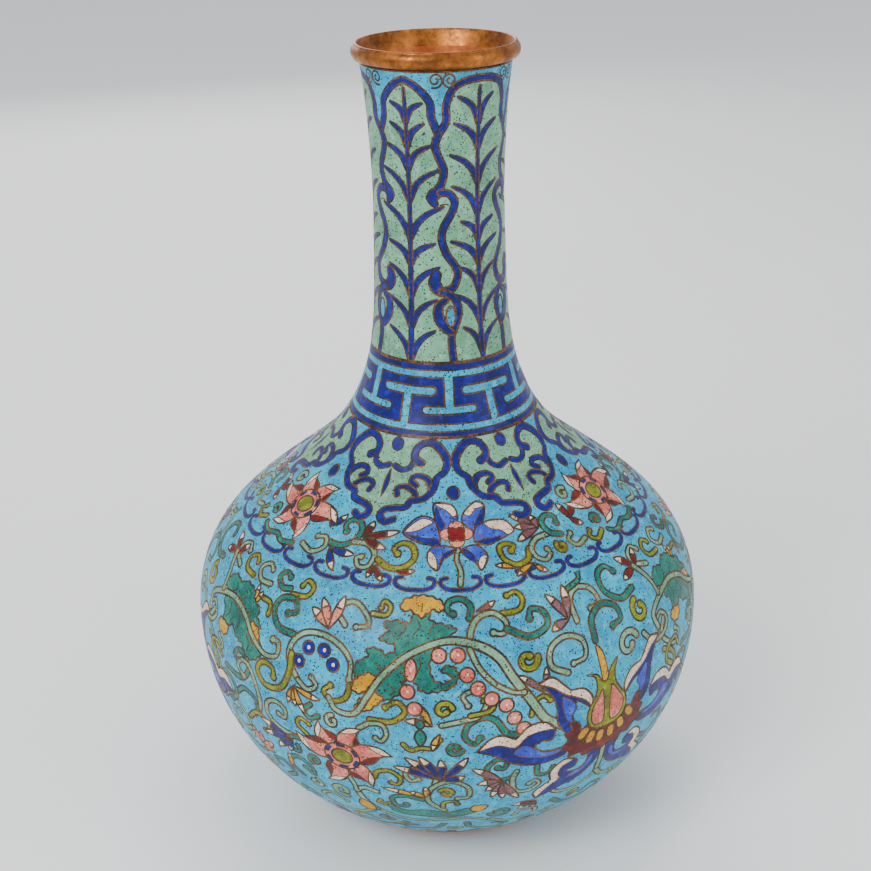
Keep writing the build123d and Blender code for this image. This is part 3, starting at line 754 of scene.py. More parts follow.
BLUE_FLOWER = (
    # whole petal, then its white part and its cobalt edge, each as a closed run of points
    (((-5.5, -3.4), (-7.5, -5.6), (-11, -5.2), (-15.4, -0.6), (-13.5, 1.6), (-9, 3.2), (-5, 3.0)),
     ((-6.4, -4.1), (-10, -4.9), (-14.9, -0.6), (-11.5, -1.0), (-8.5, -2.6)),
     ((-14.6, 0.2), (-9, 3.0), (-5, 3.1), (-5.4, 1.4), (-9.5, 1.2))),
    (((-4.4, -1.4), (-5.8, -4.8), (-5.8, -10.0), (-1, -9.6), (0.6, -6.6), (0.0, -3.4)),
     ((-5.6, -9.8), (-1, -9.4), (0.5, -6.6), (-0.6, -5.6), (-2.4, -7.6)),
     ((-4.4, -1.6), (-5.8, -5), (-5.2, -8.6), (-4.2, -5.4), (-3.0, -3.0))),
    (((2.0, -3.6), (2.6, -6.9), (6.2, -10.0), (8.7, -8.4), (7.9, -3.4), (5.6, -0.6)),
     ((2.6, -6.7), (6.2, -9.8), (8.6, -8.3), (6.2, -7.6), (4.2, -5.6)),
     ((8.4, -7.6), (7.9, -3.4), (5.8, -0.8), (5.4, -2.6), (6.6, -5.2))),
    (((5.4, -1.2), (8.7, -3.3), (13.9, -3.0), (17.1, 0.6), (15.3, 2.0), (11.9, 3.2), (8.7, 4.2),
        (5.2, 2.8)),
     ((8.4, -3.1), (13.9, -2.9), (16.9, 0.6), (15.2, 1.9), (13.0, 0.2), (9.8, -1.0)),
     ((5.4, 2.6), (8.7, 4.1), (12.3, 3.0), (13.0, 1.8), (9.4, 2.2))),
    (((-5.0, 3.4), (-8.3, 5.1), (-8.7, 8.6), (-6.4, 11.2), (-4.2, 7.8), (-0.4, 4.8)),
     ((-8.2, 5.2), (-8.7, 8.6), (-6.5, 11.0), (-6.2, 8.4), (-6.8, 6.4)),
     ((-0.6, 4.9), (-4.2, 7.8), (-5.6, 10.6), (-5.0, 7.6), (-3.4, 5.6))),
    (((1.2, 4.8), (2.2, 7.1), (5.0, 9.4), (6.4, 11.7), (8.5, 7.6), (5.4, 3.8)),
     ((8.3, 7.5), (6.6, 11.5), (5.6, 9.6), (6.6, 7.4)),
     ((1.3, 4.8), (2.2, 7.2), (5.0, 9.2), (4.8, 7.4), (3.2, 5.6))),
)


def flower(pen, petals, body, tip, edge, heart, lobes, small=False):
    """A six-petalled flower: each petal in three colours, and a lobed centre."""
    for petal in petals:
        whole, white, rim = (
            joined(*part) if small else smooth(part, closed=True, step=0.7) for part in petal
        )
        pen.cell(whole, body)
        pen.cell(white, tip, 0.36)
        pen.cell(rim, edge, 0.36)
        middle = whole.mean(axis=0)
        pen.thread(spiral(middle * 0.72, math.atan2(middle[1], middle[0]), 0.9, 1.1, 1, 0.3), 0.32)
    if small:
        pen.cell(circle(0, 0, 5.6, 5.0), body)
        for i in range(6):
            turn = math.radians(60 * i + 30)
            x, y = 4.7 * math.cos(turn), 4.1 * math.sin(turn)
            line = np.array([(x - 0.9 * math.sin(turn), y + 0.9 * math.cos(turn)),
                (x + 0.9 * math.sin(turn), y - 0.9 * math.cos(turn))])
            pen.strip(smooth(line, step=0.6), 0.7, "cobalt", 0.3)
        pen.cell(circle(0, 0, 3.3, 2.7), heart)
        return
    for x, y in ((-2.6, 0), (2.6, 0), (0, -2.3), (0, 2.3)):
        pen.cell(circle(x, y, 2.2, 1.9), lobes, 0.38)
    for x, y in ((-1.1, -0.9), (1.1, -0.9), (-1.1, 0.9), (1.1, 0.9)):
        pen.fill(circle(x, y, 1.55), "wire")
    for x, y in ((-1.1, -0.9), (1.1, -0.9), (-1.1, 0.9), (1.1, 0.9)):
        pen.fill(circle(x, y, 1.2), heart)
    pen.fill(circle(0, 0, 1.3), heart)


def petal_set(tips, inner, width):
    """Petals for a small flower: whole outline, pale tip and dark back edge for each tip."""
    made = []
    for x, y in tips:
        length = math.hypot(x, y)
        ux, uy = x / length, y / length
        vx, vy = -uy, ux

        def spot(a, b):
            return (ux * a + vx * b, uy * a + vy * b)

        whole = (
            (spot(inner, -0.5 * width), spot(0.5 * length, -0.62 * width),
                spot(0.8 * length, -0.4 * width),
             spot(length, 0.16 * width)),
            (spot(length, 0.16 * width), spot(0.8 * length, 0.12 * width),
                spot(0.55 * length, 0.5 * width),
             spot(inner, 0.45 * width)),
        )
        pale = (
            (spot(0.58 * length, -0.56 * width), spot(0.82 * length, -0.34 * width),
                spot(length - 0.3, 0.14 * width)),
            (spot(length - 0.3, 0.14 * width), spot(0.8 * length, 0.0),
                spot(0.58 * length, -0.56 * width)),
        )
        rim = (
            (spot(inner, 0.42 * width), spot(0.55 * length, 0.46 * width),
                spot(0.8 * length, 0.1 * width)),
            (spot(0.8 * length, 0.1 * width), spot(0.55 * length, 0.14 * width),
                spot(inner, 0.42 * width)),
        )
        made.append((whole, pale, rim))
    return made


def scallops(zone):
    """The cobalt bracket line that closes the shoulder."""
    for step in range(30):
        pen = zone.pen(3.6 + 12 * step, 0)
        radius = float(wall.radius(151.5)) * math.radians(1)
        arc = [(-3.4, 148.9), (-4.9, 149.3), (-5.1, 151.0), (-3.2, 152.3), (0, 152.6), (3.2, 152.3),
            (5.1, 151.0),
               (4.9, 149.3), (3.4, 148.9)]
        pen.strip(smooth([(x * radius, y) for x, y in arc]), 0.8, "cobalt", 0.4)


def build_shoulder():
    zone = Zone("shoulder", LOWER_BORDER_END, SHOULDER_END, "sky")
    scallops(zone)
    for points, colour, width in (
        ([(-37.9, 142.7), (-32.9, 142.5), (-29.2, 140), (-28.2, 136.5), (-30.1, 134), (-33.3, 134),
            (-34.7, 136), (-33.3, 138)], "teal", 1.7),
        ([(-29.2, 140.5), (-24.5, 140.3), (-21.3, 143), (-22.2, 147), (-25, 147.5), (-26.4, 145),
            (-25, 144.5)], "celadon", 1.5),
        ([(-19.9, 144.5), (-16.2, 146.5), (-12.1, 146), (-9.3, 143), (-10.2, 139.5), (-13.5, 138.5),
            (-15.8, 140.5), (-14.4, 142)], "olive", 1.7),
        ([(24.9, 143), (23.5, 146), (19.8, 147), (16.6, 144.5), (16.1, 141), (18.4, 140), (20.7, 141),
            (19.4, 142.5)], "olive", 1.6),
        ([(33.7, 140), (28.6, 140.5), (25.8, 143), (26.3, 146), (28.6, 147.5), (30.9, 146),
            (30.4, 144.5)], "celadon", 1.5),
        ([(37.4, 141.5), (34.1, 140), (33, 136.5), (35.5, 134.5), (38.6, 135.6), (38.2, 137.8)], "teal",
            1.7),
        ([(3.5, 151.0), (3.9, 147.0), (3.0, 143.5), (3.5, 140.5)], "celadon", 1.3),
        ([(44.5, 145.5), (40.5, 146.5), (38.8, 144.0), (40.6, 142.4)], "celadon", 1.3),
        ([(52.0, 146.0), (48.6, 147.6), (46.4, 146.0), (47.6, 144.2)], "olive", 1.4),
        ([(74.0, 146.0), (78.6, 147.2), (82.0, 144.6), (80.8, 141.6), (77.8, 142.2)], "celadon", 1.5),
        ([(70.6, 147.4), (66.0, 148.6), (62.5, 147.4), (58.0, 148.6), (54.6, 147.2)], "teal", 1.4),
    ):
        vine(zone, points, colour, width)
    spray(zone, (-27.3, 138), [(-25, 133), (-18.5, 141), (-15.3, 135)], "red", "white", 2.7)
    spray(zone, (-19.9, 146.3), [(-21.5, 150.4), (-17.2, 150.8)], "red", "white", 2.0)
    spray(zone, (-13.9, 147.3), [(-8.8, 146.8)], "red", "white", 1.9)
    spray(zone, (-36.1, 144), [(-31.9, 150.5), (-27.6, 144.4)], "cobalt", "white", 2.6)
    spray(zone, (30.9, 137.5), [(23, 131.5), (23.2, 135.6), (22.6, 140), (30, 133)], "mauve", "white",
        2.7)
    spray(zone, (24.6, 147.6), [(18.9, 150.3), (27.7, 150.9)], "yellow", "white", 2.0)
    spray(zone, (18.9, 147.8), [(13.8, 146.2)], "yellow", "white", 1.8)
    spray(zone, (44.0, 138.0), [(42.6, 132.4), (49.0, 134.0), (47.4, 141.4)], "red", "white", 2.6)
    spray(zone, (79.8, 138.0), [(84.0, 133.0), (77.4, 132.8)], "cobalt", "white", 2.5)
    for step in range(6):
        ruyi(zone, 33.5 + 60 * step)
    pink = petal_set([(-15, -1), (-6, -10), (7, -9.6), (16.4, 0.4), (7.2, 10.8), (-7, 10.4)], 3.8, 6.0)
    for turn in THIRDS:
        flower(zone.pen(3.5 + turn, 135.4), BLUE_FLOWER, "blue", "white", "cobalt", "red", "rose")
        flower(zone.pen(63.5 + turn, 135.4), pink, "rose", "white", "red", "olive", "cobalt", small=True)
    filler_curls(zone, 127.0, 147.6, 3.0, 4.2)
    ring_line(zone, LOWER_BORDER_END + RING_HALF)
    return zone


# ---------------------------------------------------------------- belly

LOTUS_UPPER = (
    [(-11, -5), (-14.5, -4.2), (-17.6, -8.4), (-18.2, -14.7), (-20.5, -19.5), (-23.4, -22.6)],
    [(-23.4, -22.6), (-18.7, -23.5), (-15.2, -20.2), (-13.4, -18.2)],
    [(-13.4, -18.2), (-8.9, -17.4), (-6.0, -13.7), (-6.4, -10.4), (-8.6, -12.2), (-11.4, -14.0),
        (-13.0, -11.4),
     (-12.6, -8.4), (-11, -5)],
)
LOTUS_UPPER_WHITE = (
    [(-23.0, -22.2), (-18.7, -23.3), (-15.2, -20.0), (-13.4, -18.1)],
    [(-13.4, -18.1), (-8.9, -17.2), (-6.2, -13.7), (-6.5, -10.8)],
    [(-6.5, -10.8), (-8.8, -13.6), (-12.0, -15.6), (-15.4, -17.4), (-18.8, -20.2), (-23.0, -22.2)],
)
LOTUS_UPPER_BLUE = [(-11.6, -12.6), (-13.0, -9.6), (-12.6, -6.8), (-15.0, -9.2), (-16.2, -14.0),
    (-15.8, -16.6)]
LOTUS_SIDE = (
    [(-13, 0.6), (-14.5, 4.2), (-21.8, 5.4), (-29.2, 3.8), (-36, -0.6), (-41.6, -2.9)],
    [(-41.6, -2.9), (-38.2, -6.8), (-34.5, -7.9), (-30.3, -5.9)],
    [(-30.3, -5.9), (-26.6, -9.6), (-21.8, -10), (-18.3, -6.8), (-19.2, -3.0), (-22.2, -3.4),
        (-24.3, -2.0),
     (-21.8, 0.4), (-17, 0.8), (-13, 0.6)],
)
LOTUS_SIDE_WHITE = (
    [(-41.0, -3.0), (-38.2, -6.6), (-34.5, -7.7), (-30.3, -5.7)],
    [(-30.3, -5.7), (-26.6, -9.4), (-21.8, -9.8), (-18.5, -6.8)],
    [(-18.5, -6.8), (-22.6, -7.0), (-27.0, -6.0), (-30.4, -2.8), (-35.4, -4.4), (-41.0, -3.0)],
)
LOTUS_SIDE_BLUE = [
    (-27.6, -3.0), (-24.6, -1.2), (-21.0, 1.0), (-15.4, 1.6), (-18.8, 2.9), (-25.0, 2.0), (-30.6, -0.6),
]
LOTUS_LOWER = (
    [(-6.4, 5.6), (-1.4, 6.8), (-1.8, 12.1), (-6.1, 17.4), (-11.3, 19.6), (-18.7, 23.7)],
    [(-18.7, 23.7), (-20.8, 19.5), (-18.6, 16.4), (-16.6, 14.7)],
    [(-16.6, 14.7), (-17.7, 10.2), (-14, 6.4), (-9.4, 7.8), (-9.3, 10.8), (-12.2, 12.0), (-9.4, 13.2),
     (-6.2, 12), (-5.2, 8.6), (-6.4, 5.6)],
)
LOTUS_LOWER_WHITE = (
    [(-18.9, 23.2), (-20.6, 19.5), (-18.4, 16.5), (-16.5, 14.7)],
    [(-16.5, 14.7), (-17.5, 10.2), (-14, 6.6), (-10.4, 7.6)],
    [(-10.4, 7.6), (-14.0, 9.4), (-14.6, 12.4), (-13.6, 15.0), (-16.6, 18.2), (-18.9, 23.2)],
)
LOTUS_LOWER_BLUE = [(-6.0, 12.8), (-4.6, 9.0), (-3.4, 8.2), (-3.4, 11.8), (-7.0, 15.0), (-11.0, 15.8),
    (-9.6, 13.8)]
LOTUS_PETALS = (
    (LOTUS_LOWER, LOTUS_LOWER_WHITE, LOTUS_LOWER_BLUE),
    (LOTUS_SIDE, LOTUS_SIDE_WHITE, LOTUS_SIDE_BLUE),
    (LOTUS_UPPER, LOTUS_UPPER_WHITE, LOTUS_UPPER_BLUE),
)
LOTUS_CUP = [
    (-13.4, -7.2), (-10.6, -6.4), (-9.6, -3.4), (-8.6, 0.6), (-4, 2.8), (0, 3.0), (4, 2.6), (8, 0.2),
    (9.2, -4.6),
    (11.6, -8.2), (13.8, -7.0), (13.0, -4.2), (15.0, -2.4), (13.8, 0.2), (14.6, 2.4), (11.6, 3.2),
    (10.0, 5.4),
    (7.0, 4.8), (4.6, 7.0), (1.6, 6.0), (-1.2, 7.6), (-4.0, 6.4), (-7.2, 7.4), (-9.0, 5.4), (-12.6, 5.8),
    (-13.0, 3.2), (-15.6, 1.4), (-13.8, -1.2), (-15.2, -3.8), (-12.8, -4.4),
]
LOTUS_POD = [
    (-7.6, -21.0), (-5.0, -19.6), (-4.4, -16.0), (-5.4, -13.0), (-7.4, -9.6), (-7.6, -5.6), (-5.2, -2.4),
    (0, -1.4),
    (5.0, -2.4), (7.0, -5.8), (6.6, -9.8), (4.2, -13.2), (2.6, -16.2), (2.4, -19.6), (3.8, -23.0),
    (0.6, -20.4),
    (-0.6, -17.6), (-2.4, -17.6), (-4.2, -20.2),
]
LOTUS_SEEDS = (
    [(-5.9, -9.6), (-4.0, -12.6), (-2.4, -15.0), (-1.9, -11.0), (-1.6, -6.0), (-2.4, -3.4), (-5.2, -3.8),
        (-6.3, -6.6)],
    [(5.3, -9.8), (3.2, -12.8), (1.1, -15.4), (0.5, -11), (0.4, -6), (1.2, -3.4), (4.2, -3.8),
        (5.7, -6.8)],
)


def lotus(zone, angle):
    """The great lotus of a third: six curled petals, a red cup and a pod on a tall stem."""
    for side in (1, -1):
        pen = zone.pen(angle, 204.2, side)
        for whole, white, inner in LOTUS_PETALS:
            pen.cell(joined(*whole), "cobalt")
            pen.cell(smooth(inner, closed=True, step=0.7), "blue", 0.4)
            pen.cell(joined(*white), "white", 0.46)
    pen = zone.pen(angle, 204.2)
    pen.strip(smooth([(0.2, 6.8), (0.4, 11.0), (0.8, 17)]), 1.3, "celadon")
    pen.cell(smooth(LOTUS_CUP, closed=True, step=0.7), "red")
    seat = [(-9.4, -3.0), (-5, -5.4), (0, -4.6), (5, -5.6), (9.2, -4.4), (6.5, 1.6), (0, 3.2),
        (-6.2, 2.4)]
    pen.cell(smooth(seat, closed=True), "red")
    pen.cell(smooth([(-3.2, -28.5), (-1.2, -26.5), (-0.2, -20), (0, -15.6), (-1.8, -15.6), (-2.6, -20)],
        closed=True), "yellow", 0.46)
    pen.cell(smooth(LOTUS_POD, closed=True, step=0.7), "olive")
    for seed in LOTUS_SEEDS:
        pen.cell(smooth(seed, closed=True), "rose", 0.46)
    for x, y, turn in ((-8.6, -1.8, 0.7), (-5.8, 0.6, 0.35), (-2.2, 1.5, 0.1), (1.8, 1.4, -0.1),
        (5.6, 0.0, -0.35), (8.8, -2.8, -0.7)):
        line = [(x + 0.9 * math.sin(turn), y - 0.9 * math.cos(turn)),
            (x - 0.9 * math.sin(turn), y + 0.9 * math.cos(turn))]
        pen.strip(smooth(line, step=0.6), 2.3, "yellow", 0.46)


CENTRE_LEAF = [
    (-18.9, 180.5), (-20.0, 177.0), (-19.2, 174.2), (-17.2, 172.6), (-17.4, 170.2), (-14.6, 170.2),
    (-13.6, 171.4),
    (-11.6, 170.4), (-11.6, 168.6), (-15.0, 167.2), (-13.2, 164.8), (-14.8, 162.8), (-11.4, 161.8),
    (-8.6, 162.0),
    (-7.6, 158.4), (-4.4, 158.4), (-4.0, 161.2), (-1.0, 162.4), (1.8, 163.6), (0.6, 165.4), (-1.6, 166.6),
    (-3.2, 170.0), (-4.0, 173.6),
    (-3.2, 177.6), (-1.0, 178.8), (0.8, 177.0), (-1.6, 175.0), (0.4, 173.8), (2.0, 176.4), (0.6, 179.8),
    (-3.0, 181.2),
    (-5.6, 181.0), (-7.6, 177.6), (-9.6, 179.2), (-10.4, 182.4), (-13.4, 184.6), (-16.4, 184.4),
]
CENTRE_VEINS = (
    [(-16.8, 178.8), (-14.0, 176.8), (-12.2, 177.4)],
    [(-15.6, 174.0), (-14.2, 175.4), (-12.0, 174.4)],
    [(-11.0, 166.0), (-9.4, 164.0), (-10.2, 162.0)],
    [(-7.6, 165.4), (-6.2, 162.8), (-7.2, 161.0)],
    [(-4.2, 165.2), (-3.4, 162.6), (-1.8, 161.8)],
    [(-10.2, 175.4), (-9.0, 178.0), (-9.6, 180.4)],
    [(-6.2, 171.4), (-5.8, 174.0), (-6.8, 176.4)],
    [(-12.2, 179.6), (-11.2, 181.6), (-12.2, 183.0)],
)
SIDE_LEAF = [
    (-63.0, 166.6), (-60.6, 164.6), (-57.4, 165.4), (-55.0, 164.0), (-51.4, 165.2), (-50.0, 167.6),
    (-47.4, 169.0),
    (-47.4, 171.4), (-45.6, 173.6), (-46.6, 176.4), (-44.2, 178.4), (-44.0, 181.6), (-46.4, 184.4),
    (-49.0, 184.2),
    (-50.6, 181.6), (-53.4, 180.4), (-55.0, 178.2), (-57.6, 179.6), (-59.6, 178.4), (-59.8, 175.4),
    (-61.4, 173.4),
    (-61.0, 170.2), (-64.0, 169.4),
]
SIDE_VEINS = (
    [(-59.4, 169.6), (-57.8, 168.0), (-58.6, 166.8)],
    [(-55.4, 170.0), (-53.4, 168.0), (-54.2, 166.4)],
    [(-51.4, 172.0), (-49.4, 170.8), (-49.8, 169.2)],
    [(-58.0, 172.4), (-57.4, 175.4), (-58.6, 177.2)],
    [(-54.0, 173.2), (-52.8, 176.0), (-53.4, 178.4)],
    [(-49.6, 177.8), (-48.2, 180.6), (-48.8, 182.6)],
)

UPPER_VINES = (
    ([(5, 161), (5.5, 157.5), (3.2, 155.2), (0.4, 156), (0, 158.5), (1.3, 159.5)], "teal", 1.6),
    ([(12.4, 160.5), (17, 160), (18.4, 157), (17, 154.8), (14.7, 155.5)], "olive", 1.4),
    ([(-17.6, 160.5), (-14.4, 160.5), (-13.5, 158), (-15.3, 156.5), (-15.8, 158.5)], "olive", 1.3),
    ([(-39.8, 161), (-35.6, 160), (-34.7, 157), (-37, 155.5), (-38, 157.5)], "olive", 1.4),
    ([(-41.0, 159.6), (-43.6, 160.2), (-46.0, 157.8), (-44.6, 155.6), (-42.6, 156.6)], "teal", 1.5),
    ([(-47.6, 161.0), (-51.6, 161.2), (-53.6, 158.2), (-51.4, 155.8), (-49.4, 157.0)], "celadon", 1.4),
    ([(-54.6, 161.6), (-58.6, 161.0), (-59.8, 158.0), (-57.6, 156.0), (-56.0, 157.6)], "olive", 1.4),
    ([(-62.0, 162.0), (-65.6, 160.0), (-66.4, 156.8), (-63.6, 155.0), (-61.8, 156.8)], "celadon", 1.5),
    ([(-23.6, 165), (-26.4, 161), (-22.7, 158), (-19, 161), (-18.1, 164), (-20.9, 165)], "celadon", 1.4),
    ([(-35.6, 171.5), (-40.3, 171), (-43, 167), (-42.1, 163), (-38.4, 162), (-36.6, 165), (-38.9, 166.5)],
        "teal", 1.8),
    ([(-47.7, 165.5), (-44.9, 166), (-44.4, 169)], "olive", 1.3),
    ([(5, 169), (5, 165), (6.9, 161), (10.6, 160), (13.3, 163), (12.4, 166), (10.1, 165.5)], "celadon",
        1.6),
    ([(13.3, 165), (18, 168), (22.6, 166), (22.6, 162), (19.8, 160.5), (18.9, 163)], "teal", 1.8),
    ([(30, 167), (30, 161), (32.8, 158), (36.5, 159.5), (37.4, 164), (34.6, 165)], "celadon", 1.6),
    ([(30.9, 157.5), (34.6, 156), (35.4, 153.9)], "teal", 1.3),
    ([(48.5, 165), (43.8, 166), (40.1, 162), (40.6, 157), (43.8, 155.5), (45.7, 158)], "teal", 1.8),
    ([(33.2, 174), (33.7, 168), (37.4, 165), (41.1, 167), (41.5, 171), (38.8, 172)], "teal", 1.8),
)

MIDDLE_VINES = (
    ([(-32.9, 184), (-35.6, 179), (-35.6, 174), (-32.9, 170), (-28.2, 169), (-23.6, 171), (-20.9, 175),
        (-20.9, 180)], "celadon", 1.7),
    ([(-20.6, 181.5), (-21.6, 185.6), (-24.6, 187.4), (-26.6, 185.0), (-25.0, 182.8)], "olive", 1.5),
    ([(-32.9, 184), (-30.6, 186.0), (-28.4, 184.2), (-29.6, 182.0)], "celadon", 1.5),
    ([(-35.2, 177.0), (-35.4, 183.0), (-37.6, 188.6), (-42.0, 190.0), (-44.6, 186.4), (-43.0, 183.0),
        (-40.0, 183.6), (-39.6, 186.2)], "olive", 2.0),
    ([(-57.0, 192.6), (-50.8, 192.8), (-47.8, 189.0), (-48.6, 184.8), (-51.4, 184.0), (-53.0, 186.4),
        (-51.4, 187.6)], "teal", 1.9),
    ([(-64.5, 178.0), (-66.6, 183.0), (-63.6, 187.4), (-60.6, 189.4), (-58.6, 187.0), (-60.4, 184.8)],
        "celadon", 1.6),
    ([(-66.4, 188.0), (-62.6, 190.8), (-60.6, 195.0), (-62.4, 197.6)], "olive", 1.6),
    ([(-47.0, 203.6), (-44.6, 199.4), (-44.8, 194.0), (-47.0, 187.6), (-50.0, 186.4), (-51.6, 189.4),
        (-49.4, 191.6)], "celadon", 1.7),
    ([(-53.0, 199.4), (-50.0, 196.2), (-46.4, 197.2), (-45.6, 201.0)], "teal", 1.6),
    ([(-49.6, 206.4), (-46.6, 202.8), (-43.6, 203.4), (-43.0, 206.8), (-44.6, 208.4)], "olive", 1.6),
    ([(-51.6, 216.0), (-50.4, 211.0), (-51.4, 206.4), (-54.4, 202.6), (-53.4, 199.0)], "celadon", 1.6),
    ([(-57.0, 204.6), (-61.0, 203.0), (-62.4, 199.6), (-59.6, 198.0)], "teal", 1.6),
    ([(25.4, 180.6), (21.8, 177.4), (22.4, 172.4), (26.3, 170.2), (30.0, 172.6), (30.0, 177.4),
        (27.0, 178.4)], "celadon", 1.6),
    ([(20.6, 193.6), (16.0, 196.6), (11.8, 195.8), (9.5, 191.1), (6.8, 189.6), (3.8, 191.7), (3, 195.8),
        (4.9, 198.4), (6.1, 196.4)], "teal", 1.9),
    ([(-1.6, 191.6), (3.0, 190.2), (6.0, 189.0), (7.6, 184.6), (5.4, 181.4), (2.8, 182.6), (3.8, 185.6)],
        "celadon", 1.5),
    ([(4.2, 188.8), (8.4, 187.6), (9.0, 184.6), (7.0, 184.4)], "olive", 1.3),
    ([(-16.4, 191.2), (-11.6, 191.0), (-9.0, 187.6), (-10.6, 184.8), (-13.0, 186.6)], "olive", 1.6),
    ([(-18.8, 194.7), (-16.5, 192.6), (-13.8, 192.6), (-13, 195.7), (-14.2, 198.3), (-15.3, 197.3)],
        "celadon", 1.4),
    ([(-29.8, 190.6), (-31.6, 193.2), (-30.2, 195.4), (-28.2, 194.0)], "teal", 1.4),
    ([(16.8, 191), (17.6, 187), (19.5, 185.6), (21, 187.4)], "olive", 1.3),
    ([(47.0, 178.6), (49.8, 182.6), (54.0, 183.0), (56.6, 179.6), (54.6, 176.4), (52.2, 178.0)],
        "celadon", 1.6),
    ([(58.0, 196.0), (55.0, 192.4), (56.0, 188.4), (59.4, 187.6), (60.8, 190.6)], "olive", 1.6),
    ([(63.0, 205.0), (66.4, 201.0), (65.4, 196.4), (61.6, 195.6), (60.2, 198.6)], "teal", 1.8),
)

LOWER_VINES = (
    ([(-29.6, 204.0), (-35.2, 204.3), (-39.1, 203.5), (-42.1, 200.4), (-42.1, 196.3), (-39.4, 194.2),
        (-36.8, 195.7), (-37.1, 198.9), (-38.7, 198.3)], "celadon", 1.7),
    ([(-31.2, 202), (-33.7, 199.0), (-32.6, 196.6), (-30.6, 197.8)], "olive", 1.3),
    ([(-33.0, 204.6), (-35.6, 205), (-37.5, 207), (-36.4, 210.3), (-34.5, 210.3), (-34.7, 208.2)], "teal",
        1.5),
    ([(-36.6, 222.6), (-38.7, 219.2), (-38.3, 215.5), (-35.6, 213.4), (-32.6, 216), (-32.6, 219.7),
        (-34.5, 217.6)], "teal", 1.7),
    ([(-16.5, 212.9), (-15.7, 210.3), (-13, 209.3), (-10.8, 211.9), (-11.5, 215), (-13, 214.5)], "olive",
        1.4),
    ([(-9.6, 198.5), (-8, 200.5), (-6, 199.5), (-3.5, 199.5), (-2, 196.5)], "olive", 1.3),
    ([(-3.5, 214.5), (-3.1, 210.3), (-5, 207.2), (-8.5, 207.7), (-9.6, 210.3), (-8.5, 212.9),
        (-6.9, 211.9)], "celadon", 1.6),
    ([(-1.6, 228.5), (-5, 223.3), (-5, 218.1), (-2.7, 214), (0.7, 212.9), (3.8, 216), (3.8, 220.7),
        (1.5, 221.3)], "celadon", 1.7),
    ([(-6.5, 222.3), (-10.4, 220.7), (-13.4, 222.3), (-13, 226.5), (-10.4, 227), (-10.4, 225.4)], "teal",
        1.6),
    ([(-14.6, 226), (-15.7, 227.5), (-17.3, 226.5), (-16.5, 224.9)], "olive", 1.2),
    ([(-2, 226.5), (-1.6, 223.6), (0.7, 222.9), (1.4, 224.6)], "olive", 1.2),
    ([(13, 213.5), (8.4, 213.5), (7.6, 208.3), (9.5, 205.2), (11.8, 205.7), (11.4, 208.9), (9.9, 208.3)],
        "teal", 1.6),
    ([(14.1, 211), (13.4, 214.6), (14.5, 220.3), (17.9, 221.4), (19.9, 218.8), (18.7, 216.7),
        (17.4, 217.7)], "celadon", 1.6),
    ([(18.7, 210.4), (19.1, 214), (21.4, 214.6), (22.6, 212.4)], "teal", 1.4),
    ([(35.4, 218.5), (35.4, 224.0), (31.0, 228.0), (25.6, 227.0), (24.0, 222.6), (26.6, 220.4),
        (28.6, 222.6)], "celadon", 1.7),
    ([(35.6, 222.0), (39.6, 227.6), (45.4, 227.4), (47.0, 222.8), (44.4, 220.2), (42.2, 222.2)],
        "celadon", 1.7),
    ([(48.0, 216.4), (52.6, 218.6), (56.6, 216.0), (56.0, 211.6), (52.8, 211.4)], "teal", 1.7),
    ([(60.0, 221.0), (56.6, 225.0), (52.0, 225.0), (50.4, 221.8), (52.8, 220.0)], "olive", 1.6),
    ([(70.6, 211.0), (66.4, 213.6), (62.8, 211.8), (63.0, 208.0), (66.0, 207.6)], "celadon", 1.6),
    ([(65.6, 218.0), (69.6, 220.6), (72.8, 218.0), (71.4, 214.6)], "teal", 1.6),
)

FOOT_VINES = (
    ([(-16.9, 220.2), (-19.6, 219.2), (-21.5, 221.3), (-20.7, 226.5), (-18.4, 231.1), (-15.7, 234.3),
        (-10, 237.5), (-3, 236.4), (4, 235.2), (10, 238.5)], "celadon", 1.9),
    ([(10, 238.5), (16, 243.4), (22, 240.6), (21.6, 235.6), (17.6, 235.2), (16.6, 238.2)], "celadon",
        1.7),
    ([(-18.6, 232.0), (-25.0, 238.0), (-31.6, 236.6), (-33.6, 231.4), (-29.6, 228.0), (-26.6, 231.4)],
        "celadon", 1.7),
    ([(-12.0, 241.0), (-18.0, 246.4), (-25.0, 245.6), (-27.0, 241.4), (-22.6, 239.8), (-21.0, 242.6)],
        "olive", 1.6),
    ([(-2.0, 240.8), (-5.0, 246.6), (-12.0, 248.8), (-14.0, 244.6), (-10.0, 243.6)], "teal", 1.7),
    ([(4.0, 240.0), (5.6, 246.6), (12.0, 249.4), (15.6, 246.2), (12.0, 243.6)], "teal", 1.7),
    ([(26.0, 232.6), (31.0, 238.6), (38.6, 239.6), (42.0, 235.2), (38.0, 232.0), (35.6, 235.2)], "teal",
        1.8),
    ([(44.0, 240.6), (50.0, 243.8), (56.6, 241.0), (56.6, 235.6), (51.6, 234.6), (50.2, 238.2)],
        "celadon", 1.7),
    ([(60.0, 243.6), (66.6, 246.6), (73.6, 243.4), (73.0, 237.6), (67.6, 236.8), (66.4, 240.6)], "olive",
        1.6),
    ([(62.0, 232.6), (66.6, 229.6), (72.6, 231.0), (74.6, 235.0)], "celadon", 1.6),
    ([(76.0, 229.0), (80.0, 224.6), (78.6, 220.0), (74.8, 220.6), (75.4, 224.0)], "teal", 1.7),
    ([(28.0, 246.6), (36.0, 248.6), (42.6, 246.4)], "celadon", 1.5),
    ([(78.0, 249.0), (86.0, 246.6), (92.0, 248.6)], "celadon", 1.5),
)


def spray_set(zone, rows):
    for base, tips, colour, tip_colour, width in rows:
        spray(zone, base, tips, colour, tip_colour, width)


